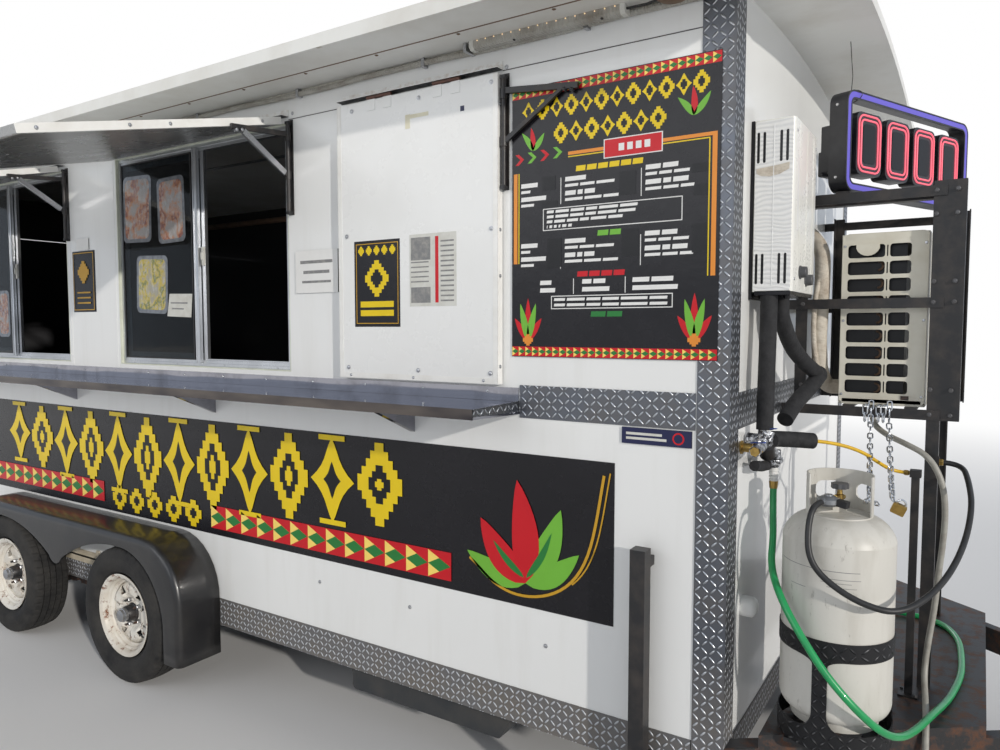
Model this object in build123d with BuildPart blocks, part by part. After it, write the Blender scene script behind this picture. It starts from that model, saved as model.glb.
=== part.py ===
"""Food trailer with two axles: a white box body with three window visors, a counter along the service
side, and a drawbar that carries the gas cylinder, the water heater and the cooling unit.

Millimetres. +X is forward, towards the coupler, the service side faces -Y, and +Z is up. The origin is
under the middle of the whole trailer, on the ground. Distances written as "back" run rearward from the
front wall's outer face, and distances written as "out" run outward from a side wall's outer face.
"""

import os
from math import cos, hypot, pi, radians, sin, sqrt, tan

from build123d import *

os.makedirs("parts", exist_ok=True)

# Clearances
seat = 0.3
swing_gap = 5

# Box body
box_length = 6100
box_width = 2134
frame_low = 360
frame_top = 460
wall_top = 2735
wall = 50
deck_thick = 20
ceiling_rise = 65

# Roof
roof_thick = 35
roof_side = 330
roof_end = 300
roof_lip = 12

# Chassis
rail_width = 50
steel = 5
cross_depth = 75
cross_width = 40
cross_count = 9

# Tread plate
plate = 3
corner_leg = 100
sill_low = 330
mid_band_low = 1436
mid_band_high = 1550
mid_band_back = 726

# Openings in the service wall
window_low = 1560
window_high = 2615
# name, back to the rear jamb, back to the front jamb
windows = [
    ("1", 4950, 3660),
    ("2", 3170, 1880),
    ("3", 1545, 807),
]
jamb = 35
frame_deep = 46
sash_bar = 32
sash_deep = 18
pane = 4

# Visors
visor_hinge_z = 2630
visor_long = 1080
visor_thick = 28
visor_rim = 25
visor_skin = 3
visor_lap = 10
visor_start = 9
knuckle_r = 6
visor_out = visor_thick + swing_gap
# name, droop below the horizontal in degrees
droops = {"1": 14, "2": 14, "3": 90}

# Swing brackets
bar_r = 9
bar_out = 18
bar_low = 2240
bar_high = 2600
arm_long = 285
arm_high = 20
arm_thick = 12
arm_drop = 30
brace_low = 175
brace_out = 230
# name, turn from pointing straight out, in degrees
bracket_turns = {"1": 0, "2": 0, "3": 90}

# Counter
counter_top = 1490
counter_deep = 290
counter_lip = 35
counter_back = (5100, 730)
splash_high = 50
gusset_high = 137
gusset_wide = 25
gusset_backs = (1210, 2410, 3620, 4830)

# Running gear
axle_backs = (2880, 4030)
tyre_r = 340
tyre_wide = 205
tyre_inset = 20
rim_r = 190
flange_r = 205
spindle_r = 22
spindle_play = 0.3
axle_drop = 100
axle_tube_r = 30
spring_in = 10
spring_long = 800
spring_wide = 40
spring_lift = 14
leaf_thick = 8
leaf_count = 4
spring_eye_r = 14
hanger_thick = 6

# Fenders
fender_wide = 229
fender_top = 755
fender_reach = 482
fender_sheet = 3
fender_low = 195
web_low = 508
# half of the web's rounded foot, and the height where the foot begins
web_foot = (60, 545)
arch_r = 367
arch_top = 690
# a point on the arch's inner flank, inward from the hub
arch_flank = (260, 655)

# Waste tank under the floor
tank_back = (1600, 760)
tank_in = 60
tank_wide = 520
tank_low = 205
tank_slant = 90

# Rear door
door_wide = 760
door_top = 2480
door_shift = 150
door_thick = 40
door_handle_z = 1400
door_knuckle = 60

# Sheets on the service wall: name, back to the rear edge, back to the front edge, low, high
sign_thick = 2
signs = [
    ("banner", 4700, 365, 765, 1310),
    ("notice 1", 3605, 3385, 1835, 2165),
    ("notice 2", 1838, 1590, 1895, 2071),
    ("notice 3", 340, 110, 1380, 1432),
]
# The menu board lies on the corner angle, so it stands off the wall by the plate's thickness
menu_back = (756, 36)
menu_z = (1650, 2560)

# Fittings of the windows, visors and brackets
sash_shift = 45
knuckle_in = 220
knuckle_long = 40
visor_soffit = 2
arm_fall = 28
lug_thick = 12

# Wheels
bead_half = 75
wall_r = 262
hub_hole = 46
drum_deep = 60
drum_r = 128
spindle_tip = 10.3
slot_ring = 130
slot_half = 13
spoke_count = 5
lug_ring = 60
lug_r = 9

# Rear lamps, roof vent, eave lamp, cabin
lamp_in = 187
lamp_z = 700
lamp_long = 165
lamp_high = 60
vent_back = 3300
vent_r = 260
curb_half = 170
curb_high = 90
cap_rim = 30
cap_high = 70
eave_lamp_back = (1560, 320)
conduit_r = 9
worktop_deep = 600
worktop_high = 1400

# Drawbar
tongue_long = 1320
beam_wide = 60
neck_half = 45
coupler_long = 230
coupler_nose = 50
socket_r = 29.8
socket_deep = 24
latch_back = 60
latch_long = 90
latch_wide = 24
latch_high = 22
deck_top = 500
deck_from = 90
deck_to = 680
deck_sheet = 5
deck_rim = 40
jack_back = 90
jack_r = 28
jack_low = 250
jack_mid = 400
jack_high = 800
crank_long = 170
foot_r = 90
foot_thick = 8

# Corner legs
leg_back = 250
leg_out = 60
leg_tube = 50
leg_foot = 130
leg_high = 1060
sleeve_low = 150
sleeve_high = 400

# Equipment on the drawbar
cylinder_r = 158.75
cylinder_at = (280, 207)
cylinder_low = 565
cylinder_high = 765
collar_r = 94
collar_high = 140
# where the collar stands open, in degrees from +X
collar_gap = (215, 280, 345)
# direction of the opening from the axis in degrees, width, height, height of its middle
collar_openings = [
    (40, 84, 50, 1246),
    (120, 84, 50, 1246),
]
strap_z = 790
strap_high = 55
upright_angle = 75
bearer_thick = 12
bearer_apart = 200
# the way that the valve's outlet points, in degrees from +X
outlet_angle = 250
regulator_off = 64
regulator_r = 33
outlet_end = 104
hose_fitting = (715, 1290)
fitting_long = 15
heater_y = (180, 536)
heater_z = (1850, 2390)
heater_off = 8
heater_deep = 125
# in from the heater's side, height
heater_knobs = [(110, 1925), (205, 1905)]
unit_x = (192, 468)
unit_y = (720, 1480)
unit_z = (1475, 2085)
# the drain's nipple under the unit: ahead, inward, height of its foot, radius
unit_drain = (300, 770, 1450, 14)
grille_columns = ((32, 137), (154, 221))
grille_rows = 9
grille_pitch = 60
grille_web = 14
cage_x = (45, 515)
cage_y = (690, 1510)
cage_top = 2240
cage_bars = (1470, 1852, 2225)
angle_leg = 40
bar_high_side = 35
# the wider angles that stiffen the cage's front corners
corner_angle = 56
sign_from = (166, 735)
sign_to = (518, 1553)
sign_z = (2243, 2601)
sign_deep = 70
sign_feet = [(181, 770), (500, 1500)]
sign_border = 38
sign_cell_high = 190
post_at = (455, 610)
post_high = 1250

# Pipes and hoses: ahead of the front wall, in from the service wall, and height, point by point
bend_share = 0.45
foam_d = 52
foam_routes = [
    [(60, 208, 1850), (60, 208, 1770), (62, 188, 1600), (60, 190, 1510), (60, 190, 1430)],
    [(78, 290, 1850), (78, 290, 1790), (95, 368, 1690), (120, 478, 1628), (144, 572, 1590)],
    [(150, 590, 1584), (138, 520, 1552), (112, 380, 1500), (98, 296, 1452)],
    [(70, 220, 1392), (70, 262, 1392), (120, 330, 1385), (170, 380, 1378)],
]
foam_elbow = (147, 580, 1587)
line_routes = [
    (
        [
            (0.3, 830, 2110),
            (60, 830, 2110),
            (118, 770, 2040),
            (124, 752, 1940),
            (122, 748, 1850),
            (118, 742, 1700),
            (122, 762, 1590),
            (140, 800, 1530),
            (191.7, 800, 1530),
        ],
        54,
    ),
    (
        [
            (122, 750, 1960),
            (108, 716, 1880),
            (104, 708, 1790),
            (106, 708, 1700),
            (114, 724, 1620),
            (124, 770, 1572),
        ],
        18,
    ),
]
valve_blocks = [
    (60, 190, 1390, 60, 60, 80),
    (60, 120, 1375, 40, 100, 40),
    (66, 285, 1330, 44, 44, 50),
    (62, 245, 1348, 26, 70, 26),
]
bib_parts = [
    (66, 300, 1290, 16, 40),
    (66, 300, 1256, 19, 30),
]
gas_points = [
    (244.3, 109, 1236),
    (229, 67, 1236),
    (222, 34, 1170),
    (230, 16, 1090),
    (276, 12, 1035),
    (368, 14, 985),
    (465, 45, 964),
    (550, 185, 1010),
    (602, 360, 1090),
    (620, 500, 1190),
    (606, 630, 1250),
    (584, 715, 1290),
    (531, 715, 1290),
]
yellow_points = [
    (170, 380, 1378),
    (220, 430, 1371),
    (300, 500, 1340),
    (355, 555, 1292),
    (392, 610, 1262),
    (438, 610, 1262),
]
drain_points = [
    (300, 770, 1450),
    (300, 770, 1405),
    (350, 735, 1370),
    (415, 675, 1352),
    (490, 640, 1320),
    (533, 630, 1240),
    (545, 634, 1140),
    (540, 645, 1030),
    (530, 648, 920),
    (522, 640, 800),
    (508, 625, 690),
    (500, 600, 590),
    (510, 540, 524),
    (516, 470, 514),
    (522, 350, 514),
    (526, 346, 250),
]
supply_points = [
    (66, 300, 1241),
    (66, 300, 1165),
    (84, 235, 1080),
    (98, 140, 1010),
    (148, 55, 945),
    (215, 12, 860),
    (290, -4, 765),
    (370, 8, 680),
    (430, 70, 605),
    (470, 165, 560),
    (503, 280, 544),
    (534, 400, 542),
    (560, 540, 520),
    (578, 640, 511),
    (596, 760, 511),
    (606, 880, 511),
    (602, 1040, 511),
    (590, 1200, 511),
    (540, 1340, 511),
    (440, 1400, 511),
    (340, 1390, 514),
]
end_fitting_long = 44
end_fitting_r = 13.5

# Places worked out from the sizes above
service_reach = visor_out + visor_long * cos(radians(droops["2"]))
far_reach = box_width + roof_side
front_reach = tongue_long + coupler_long
rear_reach = box_length + roof_end
front_x = (rear_reach - front_reach) / 2
rear_x = front_x - box_length
side_y = (service_reach - far_reach) / 2
far_y = side_y + box_width
mid_y = side_y + box_width / 2
deck_z = frame_top + deck_thick
nose_x = front_x + tongue_long
beam_slope = (box_width / 2 - neck_half - beam_wide / 2) / (tongue_long - plate)
beam_across = beam_wide * sqrt(1 + beam_slope**2)
deck_half_rear = box_width / 2 - beam_slope * (deck_from - plate)
deck_half_front = box_width / 2 - beam_slope * (deck_to - plate)
hub_z = tyre_r
arch_haunch = sqrt(0.5)
ceiling_crown = wall_top + ceiling_rise
inner_half = box_width / 2 - wall
arch_r_roof = (inner_half**2 + ceiling_rise**2) / (2 * ceiling_rise)
cage_u = (front_x + cage_x[0], front_x + cage_x[1])
cage_v = (side_y + cage_y[0], side_y + cage_y[1])

facing_service = Plane((0, side_y, 0), x_dir=(1, 0, 0), z_dir=(0, -1, 0))
facing_far = Plane((0, far_y, 0), x_dir=(-1, 0, 0), z_dir=(0, 1, 0))
facing_front = Plane((front_x, 0, 0), x_dir=(0, 1, 0), z_dir=(1, 0, 0))
facing_rear = Plane((rear_x, 0, 0), x_dir=(0, -1, 0), z_dir=(-1, 0, 0))
across = Plane((rear_x, 0, 0), x_dir=(0, 1, 0), z_dir=(1, 0, 0))


def block(x, y, z, mode=Mode.ADD):
    """Straight block between two limits along each axis, in the piece being built."""
    with Locations(((x[0] + x[1]) / 2, (y[0] + y[1]) / 2, (z[0] + z[1]) / 2)):
        Box(x[1] - x[0], y[1] - y[0], z[1] - z[0], mode=mode)


def panel(u, v):
    """Rectangle between two limits along each axis, in the sketch being drawn."""
    with Locations(((u[0] + u[1]) / 2, (v[0] + v[1]) / 2)):
        Rectangle(u[1] - u[0], v[1] - v[0])


def arch_drop(aside):
    """How far the roof's arch lies below its crown, at a distance aside from the middle."""
    return arch_r_roof - sqrt(arch_r_roof**2 - aside**2)


def mitred(u, v, bar):
    """The four members of a mitred frame, as corner points, a hair apart at their mitres."""
    cut = seat / 2
    u0, u1, v0, v1 = u[0], u[1], v[0], v[1]
    return [
        [(u0 + cut, v0), (u1 - cut, v0), (u1 - bar - cut, v0 + bar), (u0 + bar + cut, v0 + bar)],
        [(u0 + cut, v1), (u1 - cut, v1), (u1 - bar - cut, v1 - bar), (u0 + bar + cut, v1 - bar)],
        [(u0, v0 + cut), (u0, v1 - cut), (u0 + bar, v1 - bar - cut), (u0 + bar, v0 + bar + cut)],
        [(u1, v0 + cut), (u1, v1 - cut), (u1 - bar, v1 - bar - cut), (u1 - bar, v0 + bar + cut)],
    ]


def channel_section(y, z, wide, deep, open_to):
    """Steel channel section, in the sketch being drawn, open towards +1 or -1 along the sketch."""
    with Locations((y, z)):
        Rectangle(wide, deep)
    with Locations((y + open_to * steel, z)):
        Rectangle(wide, deep - 2 * steel, mode=Mode.SUBTRACT)


# Chassis: two side rails, crossmembers between them, and the drawbar
with BuildPart() as frame_rails:
    with BuildSketch(across):
        for y, open_to in ((side_y + rail_width / 2, 1), (far_y - rail_width / 2, -1)):
            channel_section(y, (frame_low + frame_top) / 2, rail_width, frame_top - frame_low, open_to)
    extrude(amount=box_length)
    # The drawbar's two box beams run from the corners of the body to the coupler's neck
    for out in (-1, 1):
        root_out = mid_y + out * box_width / 2
        neck_out = mid_y + out * (neck_half + beam_wide / 2)
        wide = out * beam_across
        with BuildSketch(Plane.XY.offset(frame_low)):
            with BuildLine():
                Polyline(
                    (front_x + plate, root_out),
                    (nose_x, neck_out),
                    (nose_x, neck_out - wide / 2),
                    (front_x + plate, root_out - wide),
                    close=True,
                )
            make_face()
        extrude(amount=frame_top - frame_low)
frame_rails.part.label = "frame_rails"
export_step(frame_rails.part, "parts/frame_rails.step")

cross_span = box_width - 2 * rail_width
cross_pitch = (box_length - cross_width) / (cross_count + 1)
with BuildPart() as frame_crossmembers:
    with BuildSketch(Plane((0, side_y + rail_width, 0), x_dir=(-1, 0, 0), z_dir=(0, 1, 0))):
        for row in range(cross_count + 2):
            end_piece = row in (0, cross_count + 1)
            deep = frame_top - frame_low if end_piece else cross_depth
            x = rear_x + cross_width / 2 + row * cross_pitch
            channel_section(-x, frame_top - deep / 2, cross_width, deep, -1 if row > cross_count else 1)
    extrude(amount=cross_span)
frame_crossmembers.part.label = "frame_crossmembers"
export_step(frame_crossmembers.part, "parts/frame_crossmembers.step")

# The platform rests on the two beams and follows their outer edges: a sheet with a rim below it
with BuildPart() as tongue_deck:
    with BuildSketch(Plane.XY.offset(frame_top)) as platform:
        with BuildLine():
            Polyline(
                (front_x + deck_from, mid_y - deck_half_rear),
                (front_x + deck_to, mid_y - deck_half_front),
                (front_x + deck_to, mid_y + deck_half_front),
                (front_x + deck_from, mid_y + deck_half_rear),
                close=True,
            )
        make_face()
    extrude(amount=deck_top - frame_top)
    with BuildSketch(Plane.XY.offset(frame_top)):
        add(platform.sketch)
        offset(amount=-deck_rim, mode=Mode.REPLACE)
    extrude(amount=deck_top - deck_sheet - frame_top, mode=Mode.SUBTRACT)
tongue_deck.part.label = "tongue_deck"
export_step(tongue_deck.part, "parts/tongue_deck.step")

# Ball coupler: a tapered housing with a socket that opens downwards
coupler_low = frame_low + 20
coupler_high = frame_top + 15
socket_x = front_x + front_reach - coupler_nose
with BuildPart() as coupler:
    with BuildSketch(Plane.XY.offset(coupler_low)):
        with Locations((socket_x, mid_y)):
            Circle(coupler_nose)
        with BuildLine():
            Polyline(
                (nose_x, mid_y - neck_half),
                (nose_x, mid_y + neck_half),
                (socket_x, mid_y + coupler_nose),
                (socket_x, mid_y - coupler_nose),
                close=True,
            )
        make_face()
    extrude(amount=coupler_high - coupler_low)
    with Locations((socket_x, mid_y, coupler_low + socket_deep / 2)):
        Cylinder(socket_r, socket_deep, mode=Mode.SUBTRACT)
    with Locations((socket_x, mid_y, coupler_low + socket_deep)):
        Sphere(socket_r, mode=Mode.SUBTRACT)
    with Locations((nose_x + latch_back, mid_y, coupler_high + latch_high / 2)):
        Box(latch_long, latch_wide, latch_high)
coupler.part.label = "coupler"
export_step(coupler.part, "parts/coupler.step")

# Jack on the drawbar, standing on its foot plate, with its crank on top
jack_x = nose_x - jack_back
with BuildPart() as tongue_jack:
    with Locations((jack_x, mid_y, (foot_thick + jack_mid) / 2)):
        Cylinder(jack_r - 5, jack_mid - foot_thick)
    with Locations((jack_x, mid_y, foot_thick / 2)):
        Cylinder(foot_r, foot_thick)
    with Locations((jack_x, mid_y, (jack_low + jack_high) / 2)):
        Cylinder(jack_r, jack_high - jack_low)
    with Locations((jack_x, mid_y, jack_high + 15)):
        Cylinder(jack_r + 8, 30)
    block(
        (jack_x - 8, jack_x + 8),
        (mid_y - 8, mid_y + crank_long),
        (jack_high + 30, jack_high + 42),
    )
    with Locations((jack_x, mid_y + crank_long - 12, jack_high + 42 + 45)):
        Cylinder(11, 90)
    # Web that joins the jack to both beams
    jack_half = neck_half + (nose_x - jack_x) * beam_slope
    block(
        (jack_x - 45, jack_x + 45),
        (mid_y - jack_half, mid_y + jack_half),
        (frame_top, frame_top + 10),
    )
tongue_jack.part.label = "tongue_jack"
export_step(tongue_jack.part, "parts/tongue_jack.step")

# Legs at the four corners of the body: a square tube in a sleeve, held to the wall by two clips
with BuildPart() as stabiliser_legs:
    for back in (leg_back, box_length - leg_back):
        for y, out in ((side_y, -1), (far_y, 1)):
            leg_y = y + out * leg_out
            x = front_x - back
            with Locations((x, leg_y, (foot_thick + leg_high) / 2)):
                Box(leg_tube, leg_tube, leg_high - foot_thick)
            with Locations((x, leg_y, foot_thick / 2)):
                Box(leg_foot, leg_foot, foot_thick)
            with Locations((x, leg_y, (sleeve_low + sleeve_high) / 2)):
                Box(leg_tube + 12, leg_tube + 12, sleeve_high - sleeve_low)
            wall_face = y + out * plate
            for z in (sleeve_high - 40, leg_high - 60):
                block(
                    (x - leg_tube / 2, x + leg_tube / 2),
                    sorted((leg_y, wall_face)),
                    (z, z + 30),
                )
stabiliser_legs.part.label = "stabiliser_legs"
export_step(stabiliser_legs.part, "parts/stabiliser_legs.step")

# Drop axles: a low tube with an arm up to a spindle at each end
tube_z = hub_z - axle_drop
tube_end = 4
arm_out = tyre_inset + 34
spindle_end = tyre_inset + tyre_wide / 2 + 10
arm_half = axle_tube_r + 4
with BuildPart() as axles:
    for back in axle_backs:
        x = front_x - back
        for y, out in ((side_y, 1), (far_y, -1)):
            block(
                (x - spring_wide / 2, x + spring_wide / 2),
                sorted((y + out * spring_in, y + out * (spring_in + spring_wide))),
                (tube_z, tube_z + axle_tube_r + 2),
            )
        with Locations((x, mid_y, tube_z)):
            Cylinder(axle_tube_r, box_width + 2 * tube_end, rotation=(90, 0, 0))
        for y, out in ((side_y, -1), (far_y, 1)):
            facing = Plane((x, y + out * tube_end, hub_z), x_dir=(-out, 0, 0), z_dir=(0, out, 0))
            with BuildSketch(facing):
                with BuildLine():
                    Polyline(
                        (-arm_half, arm_half),
                        (arm_half, arm_half),
                        (arm_half, -axle_drop - arm_half),
                        (-arm_half, -axle_drop - arm_half),
                        close=True,
                    )
                make_face()
            extrude(amount=arm_out - tube_end)
            with BuildSketch(facing):
                Circle(spindle_r)
            extrude(amount=spindle_end - tube_end)
axles.part.label = "axles"
export_step(axles.part, "parts/axles.step")

# Leaf springs seated on the axles, their eyes held by hangers and by a rocker between the two springs
eye_z = tube_z + axle_tube_r + 2 + leaf_count * leaf_thick - leaf_thick / 2 + spring_lift
with BuildPart() as leaf_springs:
    for y, out in ((side_y, 1), (far_y, -1)):
        near_y = min(y + out * spring_in, y + out * (spring_in + spring_wide))
        lengthwise = Plane((0, near_y, 0), x_dir=(-1, 0, 0), z_dir=(0, 1, 0))
        for back in axle_backs:
            u = back - front_x
            for leaf in range(leaf_count):
                half = spring_long / 2 * (1 - leaf / (leaf_count + 1))
                low = tube_z + axle_tube_r + 2 + (leaf_count - 1 - leaf) * leaf_thick
                end = low + spring_lift * (2 * half / spring_long) ** 2
                with BuildSketch(lengthwise):
                    with BuildLine():
                        ThreePointArc((u - half, end), (u, low), (u + half, end))
                        Line((u + half, end), (u + half, end + leaf_thick))
                        ThreePointArc(
                            (u + half, end + leaf_thick),
                            (u, low + leaf_thick),
                            (u - half, end + leaf_thick),
                        )
                        Line((u - half, end + leaf_thick), (u - half, end))
                    make_face()
                extrude(amount=spring_wide)
            with BuildSketch(lengthwise):
                with Locations((u - spring_long / 2, eye_z), (u + spring_long / 2, eye_z)):
                    Circle(spring_eye_r)
            extrude(amount=spring_wide)
leaf_springs.part.label = "leaf_springs"
export_step(leaf_springs.part, "parts/leaf_springs.step")

rocker_half = (axle_backs[1] - axle_backs[0] - spring_long) / 2
rocker_back = (axle_backs[0] + axle_backs[1]) / 2
with BuildPart() as spring_hangers:
    for y, out in ((side_y, 1), (far_y, -1)):
        near_y = min(y + out * spring_in, y + out * (spring_in + spring_wide))
        for cheek_y in (near_y - seat - hanger_thick, near_y + spring_wide + seat):
            lengthwise = Plane((0, cheek_y, 0), x_dir=(-1, 0, 0), z_dir=(0, 1, 0))
            with BuildSketch(lengthwise):
                for back in (axle_backs[0] - spring_long / 2, axle_backs[1] + spring_long / 2):
                    u = back - front_x
                    with Locations((u, eye_z)):
                        Circle(spring_eye_r + 6)
                    panel((u - spring_eye_r - 6, u + spring_eye_r + 6), (eye_z, frame_low))
            extrude(amount=hanger_thick)
            with BuildSketch(lengthwise):
                u = rocker_back - front_x
                with BuildLine():
                    Polyline(
                        (u - rocker_half - spring_eye_r, eye_z - spring_eye_r),
                        (u + rocker_half + spring_eye_r, eye_z - spring_eye_r),
                        (u + rocker_half + spring_eye_r, eye_z + spring_eye_r),
                        (u + 30, frame_low - 12),
                        (u - 30, frame_low - 12),
                        (u - rocker_half - spring_eye_r, eye_z + spring_eye_r),
                        close=True,
                    )
                make_face()
            extrude(amount=hanger_thick)
        x = front_x - rocker_back
        block((x - 25, x + 25), (near_y - seat, near_y + spring_wide + seat), (eye_z - 10, frame_low))
spring_hangers.part.label = "spring_hangers"
export_step(spring_hangers.part, "parts/spring_hangers.step")

# Fenders: a bent sheet over both wheels and an outer skirt with a web between the wheels
front_u = axle_backs[0] - front_x
rear_u = axle_backs[1] - front_x
web_u = (front_u + rear_u) / 2
bend_r = fender_reach - 200
with BuildPart() as fenders:
    for y, out in ((side_y, -1), (far_y, 1)):
        for depth, start in ((fender_wide - plate, plate), (fender_sheet, fender_wide)):
            skirt = depth == fender_sheet
            facing = Plane((0, y + out * start, 0), x_dir=(-1, 0, 0), z_dir=(0, 1, 0))
            with BuildSketch(facing) as outline:
                low_u = front_u - fender_reach
                high_u = rear_u + fender_reach
                with BuildLine():
                    Polyline(
                        (low_u, fender_low),
                        (low_u, fender_top),
                        (high_u, fender_top),
                        (high_u, fender_low),
                        close=True,
                    )
                make_face()
                fillet(outline.vertices().group_by(Axis.Y)[-1], bend_r)
                if skirt:
                    with BuildLine():
                        for hub_u, way in ((front_u, 1), (rear_u, -1)):
                            end_u = hub_u - way * arch_r
                            foot = (web_u - way * web_foot[0], web_foot[1])
                            Line((end_u, 0), (end_u, hub_z))
                            ThreePointArc(
                                (end_u, hub_z),
                                (hub_u - way * arch_r * arch_haunch, hub_z + arch_r * arch_haunch),
                                (hub_u, arch_top),
                            )
                            flank = (hub_u + way * arch_flank[0], arch_flank[1])
                            ThreePointArc((hub_u, arch_top), flank, foot)
                        ThreePointArc(
                            (web_u - web_foot[0], web_foot[1]),
                            (web_u, web_low),
                            (web_u + web_foot[0], web_foot[1]),
                        )
                        Line((front_u - arch_r, 0), (rear_u + arch_r, 0))
                    make_face(mode=Mode.SUBTRACT)
                else:
                    offset(amount=-fender_sheet, mode=Mode.SUBTRACT)
                    with Locations(((front_u + rear_u) / 2, fender_low)):
                        Rectangle(high_u - low_u - 2 * fender_sheet, 4 * fender_sheet, mode=Mode.SUBTRACT)
            extrude(amount=out * depth)
fenders.part.label = "fenders"
export_step(fenders.part, "parts/fenders.step")

# Grey tank under the floor, its front end cut on the slant
with BuildPart() as waste_tank:
    with BuildSketch(Plane((0, side_y + tank_in, 0), x_dir=(-1, 0, 0), z_dir=(0, 1, 0))):
        with BuildLine():
            Polyline(
                (tank_back[1] - front_x, frame_low - seat),
                (tank_back[0] - front_x, frame_low - seat),
                (tank_back[0] - front_x, tank_low),
                (tank_back[1] - front_x + tank_slant, tank_low),
                close=True,
            )
        make_face()
    extrude(amount=tank_wide)
    fillet(waste_tank.edges().filter_by(Axis.Y).group_by(Axis.Z)[0], 20)
    for back in (tank_back[0] - 120, tank_back[1] + tank_slant + 60):
        x = front_x - back
        block((x - 15, x + 15), (side_y + 5, side_y + tank_in + tank_wide), (frame_low - 10, frame_low))
waste_tank.part.label = "waste_tank"
export_step(waste_tank.part, "parts/waste_tank.step")

# Floor between the walls
with BuildPart() as floor_deck:
    block((rear_x + wall, front_x - wall), (side_y + wall, far_y - wall), (frame_top, deck_z))
floor_deck.part.label = "floor_deck"
export_step(floor_deck.part, "parts/floor_deck.step")

# Service wall: a panel below the windows, a header above them and the panels between them
with BuildPart() as wall_service_bands:
    with BuildSketch(facing_service):
        panel((rear_x, front_x), (frame_top, window_low))
        panel((rear_x, front_x), (window_high, wall_top))
    extrude(amount=-wall)
wall_service_bands.part.label = "wall_service_bands"
export_step(wall_service_bands.part, "parts/wall_service_bands.step")

rear_edges = [box_length] + [front_jamb for _, _, front_jamb in windows]
front_edges = [rear_jamb for _, rear_jamb, _ in windows] + [0]
with BuildPart() as wall_service_posts:
    with BuildSketch(facing_service):
        for rear_edge, front_edge in zip(rear_edges, front_edges):
            panel((front_x - rear_edge, front_x - front_edge), (window_low, window_high))
    extrude(amount=-wall)
wall_service_posts.part.label = "wall_service_posts"
export_step(wall_service_posts.part, "parts/wall_service_posts.step")

with BuildPart() as wall_far:
    with BuildSketch(facing_far):
        panel((-front_x, -rear_x), (frame_top, wall_top))
    extrude(amount=-wall)
wall_far.part.label = "wall_far"
export_step(wall_far.part, "parts/wall_far.step")

# End walls rise with the ceiling
with BuildPart() as wall_front:
    with BuildSketch(facing_front):
        with BuildLine():
            Polyline(
                (mid_y - inner_half, wall_top),
                (mid_y - inner_half, frame_top),
                (mid_y + inner_half, frame_top),
                (mid_y + inner_half, wall_top),
            )
            ThreePointArc(
                (mid_y + inner_half, wall_top), (mid_y, ceiling_crown), (mid_y - inner_half, wall_top)
            )
        make_face()
    extrude(amount=-wall)
wall_front.part.label = "wall_front"
export_step(wall_front.part, "parts/wall_front.step")

door_y = (mid_y + door_shift - door_wide / 2, mid_y + door_shift + door_wide / 2)
with BuildPart() as wall_rear_posts:
    with BuildSketch(facing_rear):
        panel((-door_y[0] + swing_gap, -mid_y + inner_half), (frame_top, door_top))
        panel((-mid_y - inner_half, -door_y[1] - swing_gap), (frame_top, door_top))
    extrude(amount=-wall)
wall_rear_posts.part.label = "wall_rear_posts"
export_step(wall_rear_posts.part, "parts/wall_rear_posts.step")

with BuildPart() as wall_rear_header:
    with BuildSketch(facing_rear):
        with BuildLine():
            Polyline(
                (-mid_y - inner_half, wall_top),
                (-mid_y - inner_half, door_top),
                (-mid_y + inner_half, door_top),
                (-mid_y + inner_half, wall_top),
            )
            ThreePointArc(
                (-mid_y + inner_half, wall_top), (-mid_y, ceiling_crown), (-mid_y - inner_half, wall_top)
            )
        make_face()
    extrude(amount=-wall)
wall_rear_header.part.label = "wall_rear_header"
export_step(wall_rear_header.part, "parts/wall_rear_header.step")

# Roof: arched over the cabin and level over the side walls and eaves, with a lip along both eaves
eave_half = box_width / 2 + roof_side
with BuildPart() as roof:
    with BuildSketch(Plane((rear_x - roof_end, 0, 0), x_dir=(0, 1, 0), z_dir=(1, 0, 0))):
        with BuildLine():
            Polyline(
                (mid_y - inner_half, wall_top),
                (mid_y - eave_half + roof_lip, wall_top),
                (mid_y - eave_half + roof_lip, wall_top - roof_lip),
                (mid_y - eave_half, wall_top - roof_lip),
                (mid_y - eave_half, wall_top + roof_thick),
                (mid_y - inner_half, wall_top + roof_thick),
            )
            ThreePointArc(
                (mid_y - inner_half, wall_top + roof_thick),
                (mid_y, ceiling_crown + roof_thick),
                (mid_y + inner_half, wall_top + roof_thick),
            )
            Polyline(
                (mid_y + inner_half, wall_top + roof_thick),
                (mid_y + eave_half, wall_top + roof_thick),
                (mid_y + eave_half, wall_top - roof_lip),
                (mid_y + eave_half - roof_lip, wall_top - roof_lip),
                (mid_y + eave_half - roof_lip, wall_top),
                (mid_y + inner_half, wall_top),
            )
            ThreePointArc(
                (mid_y + inner_half, wall_top), (mid_y, ceiling_crown), (mid_y - inner_half, wall_top)
            )
        make_face()
    extrude(amount=box_length + 2 * roof_end)
roof.part.label = "roof"
export_step(roof.part, "parts/roof.step")

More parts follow.
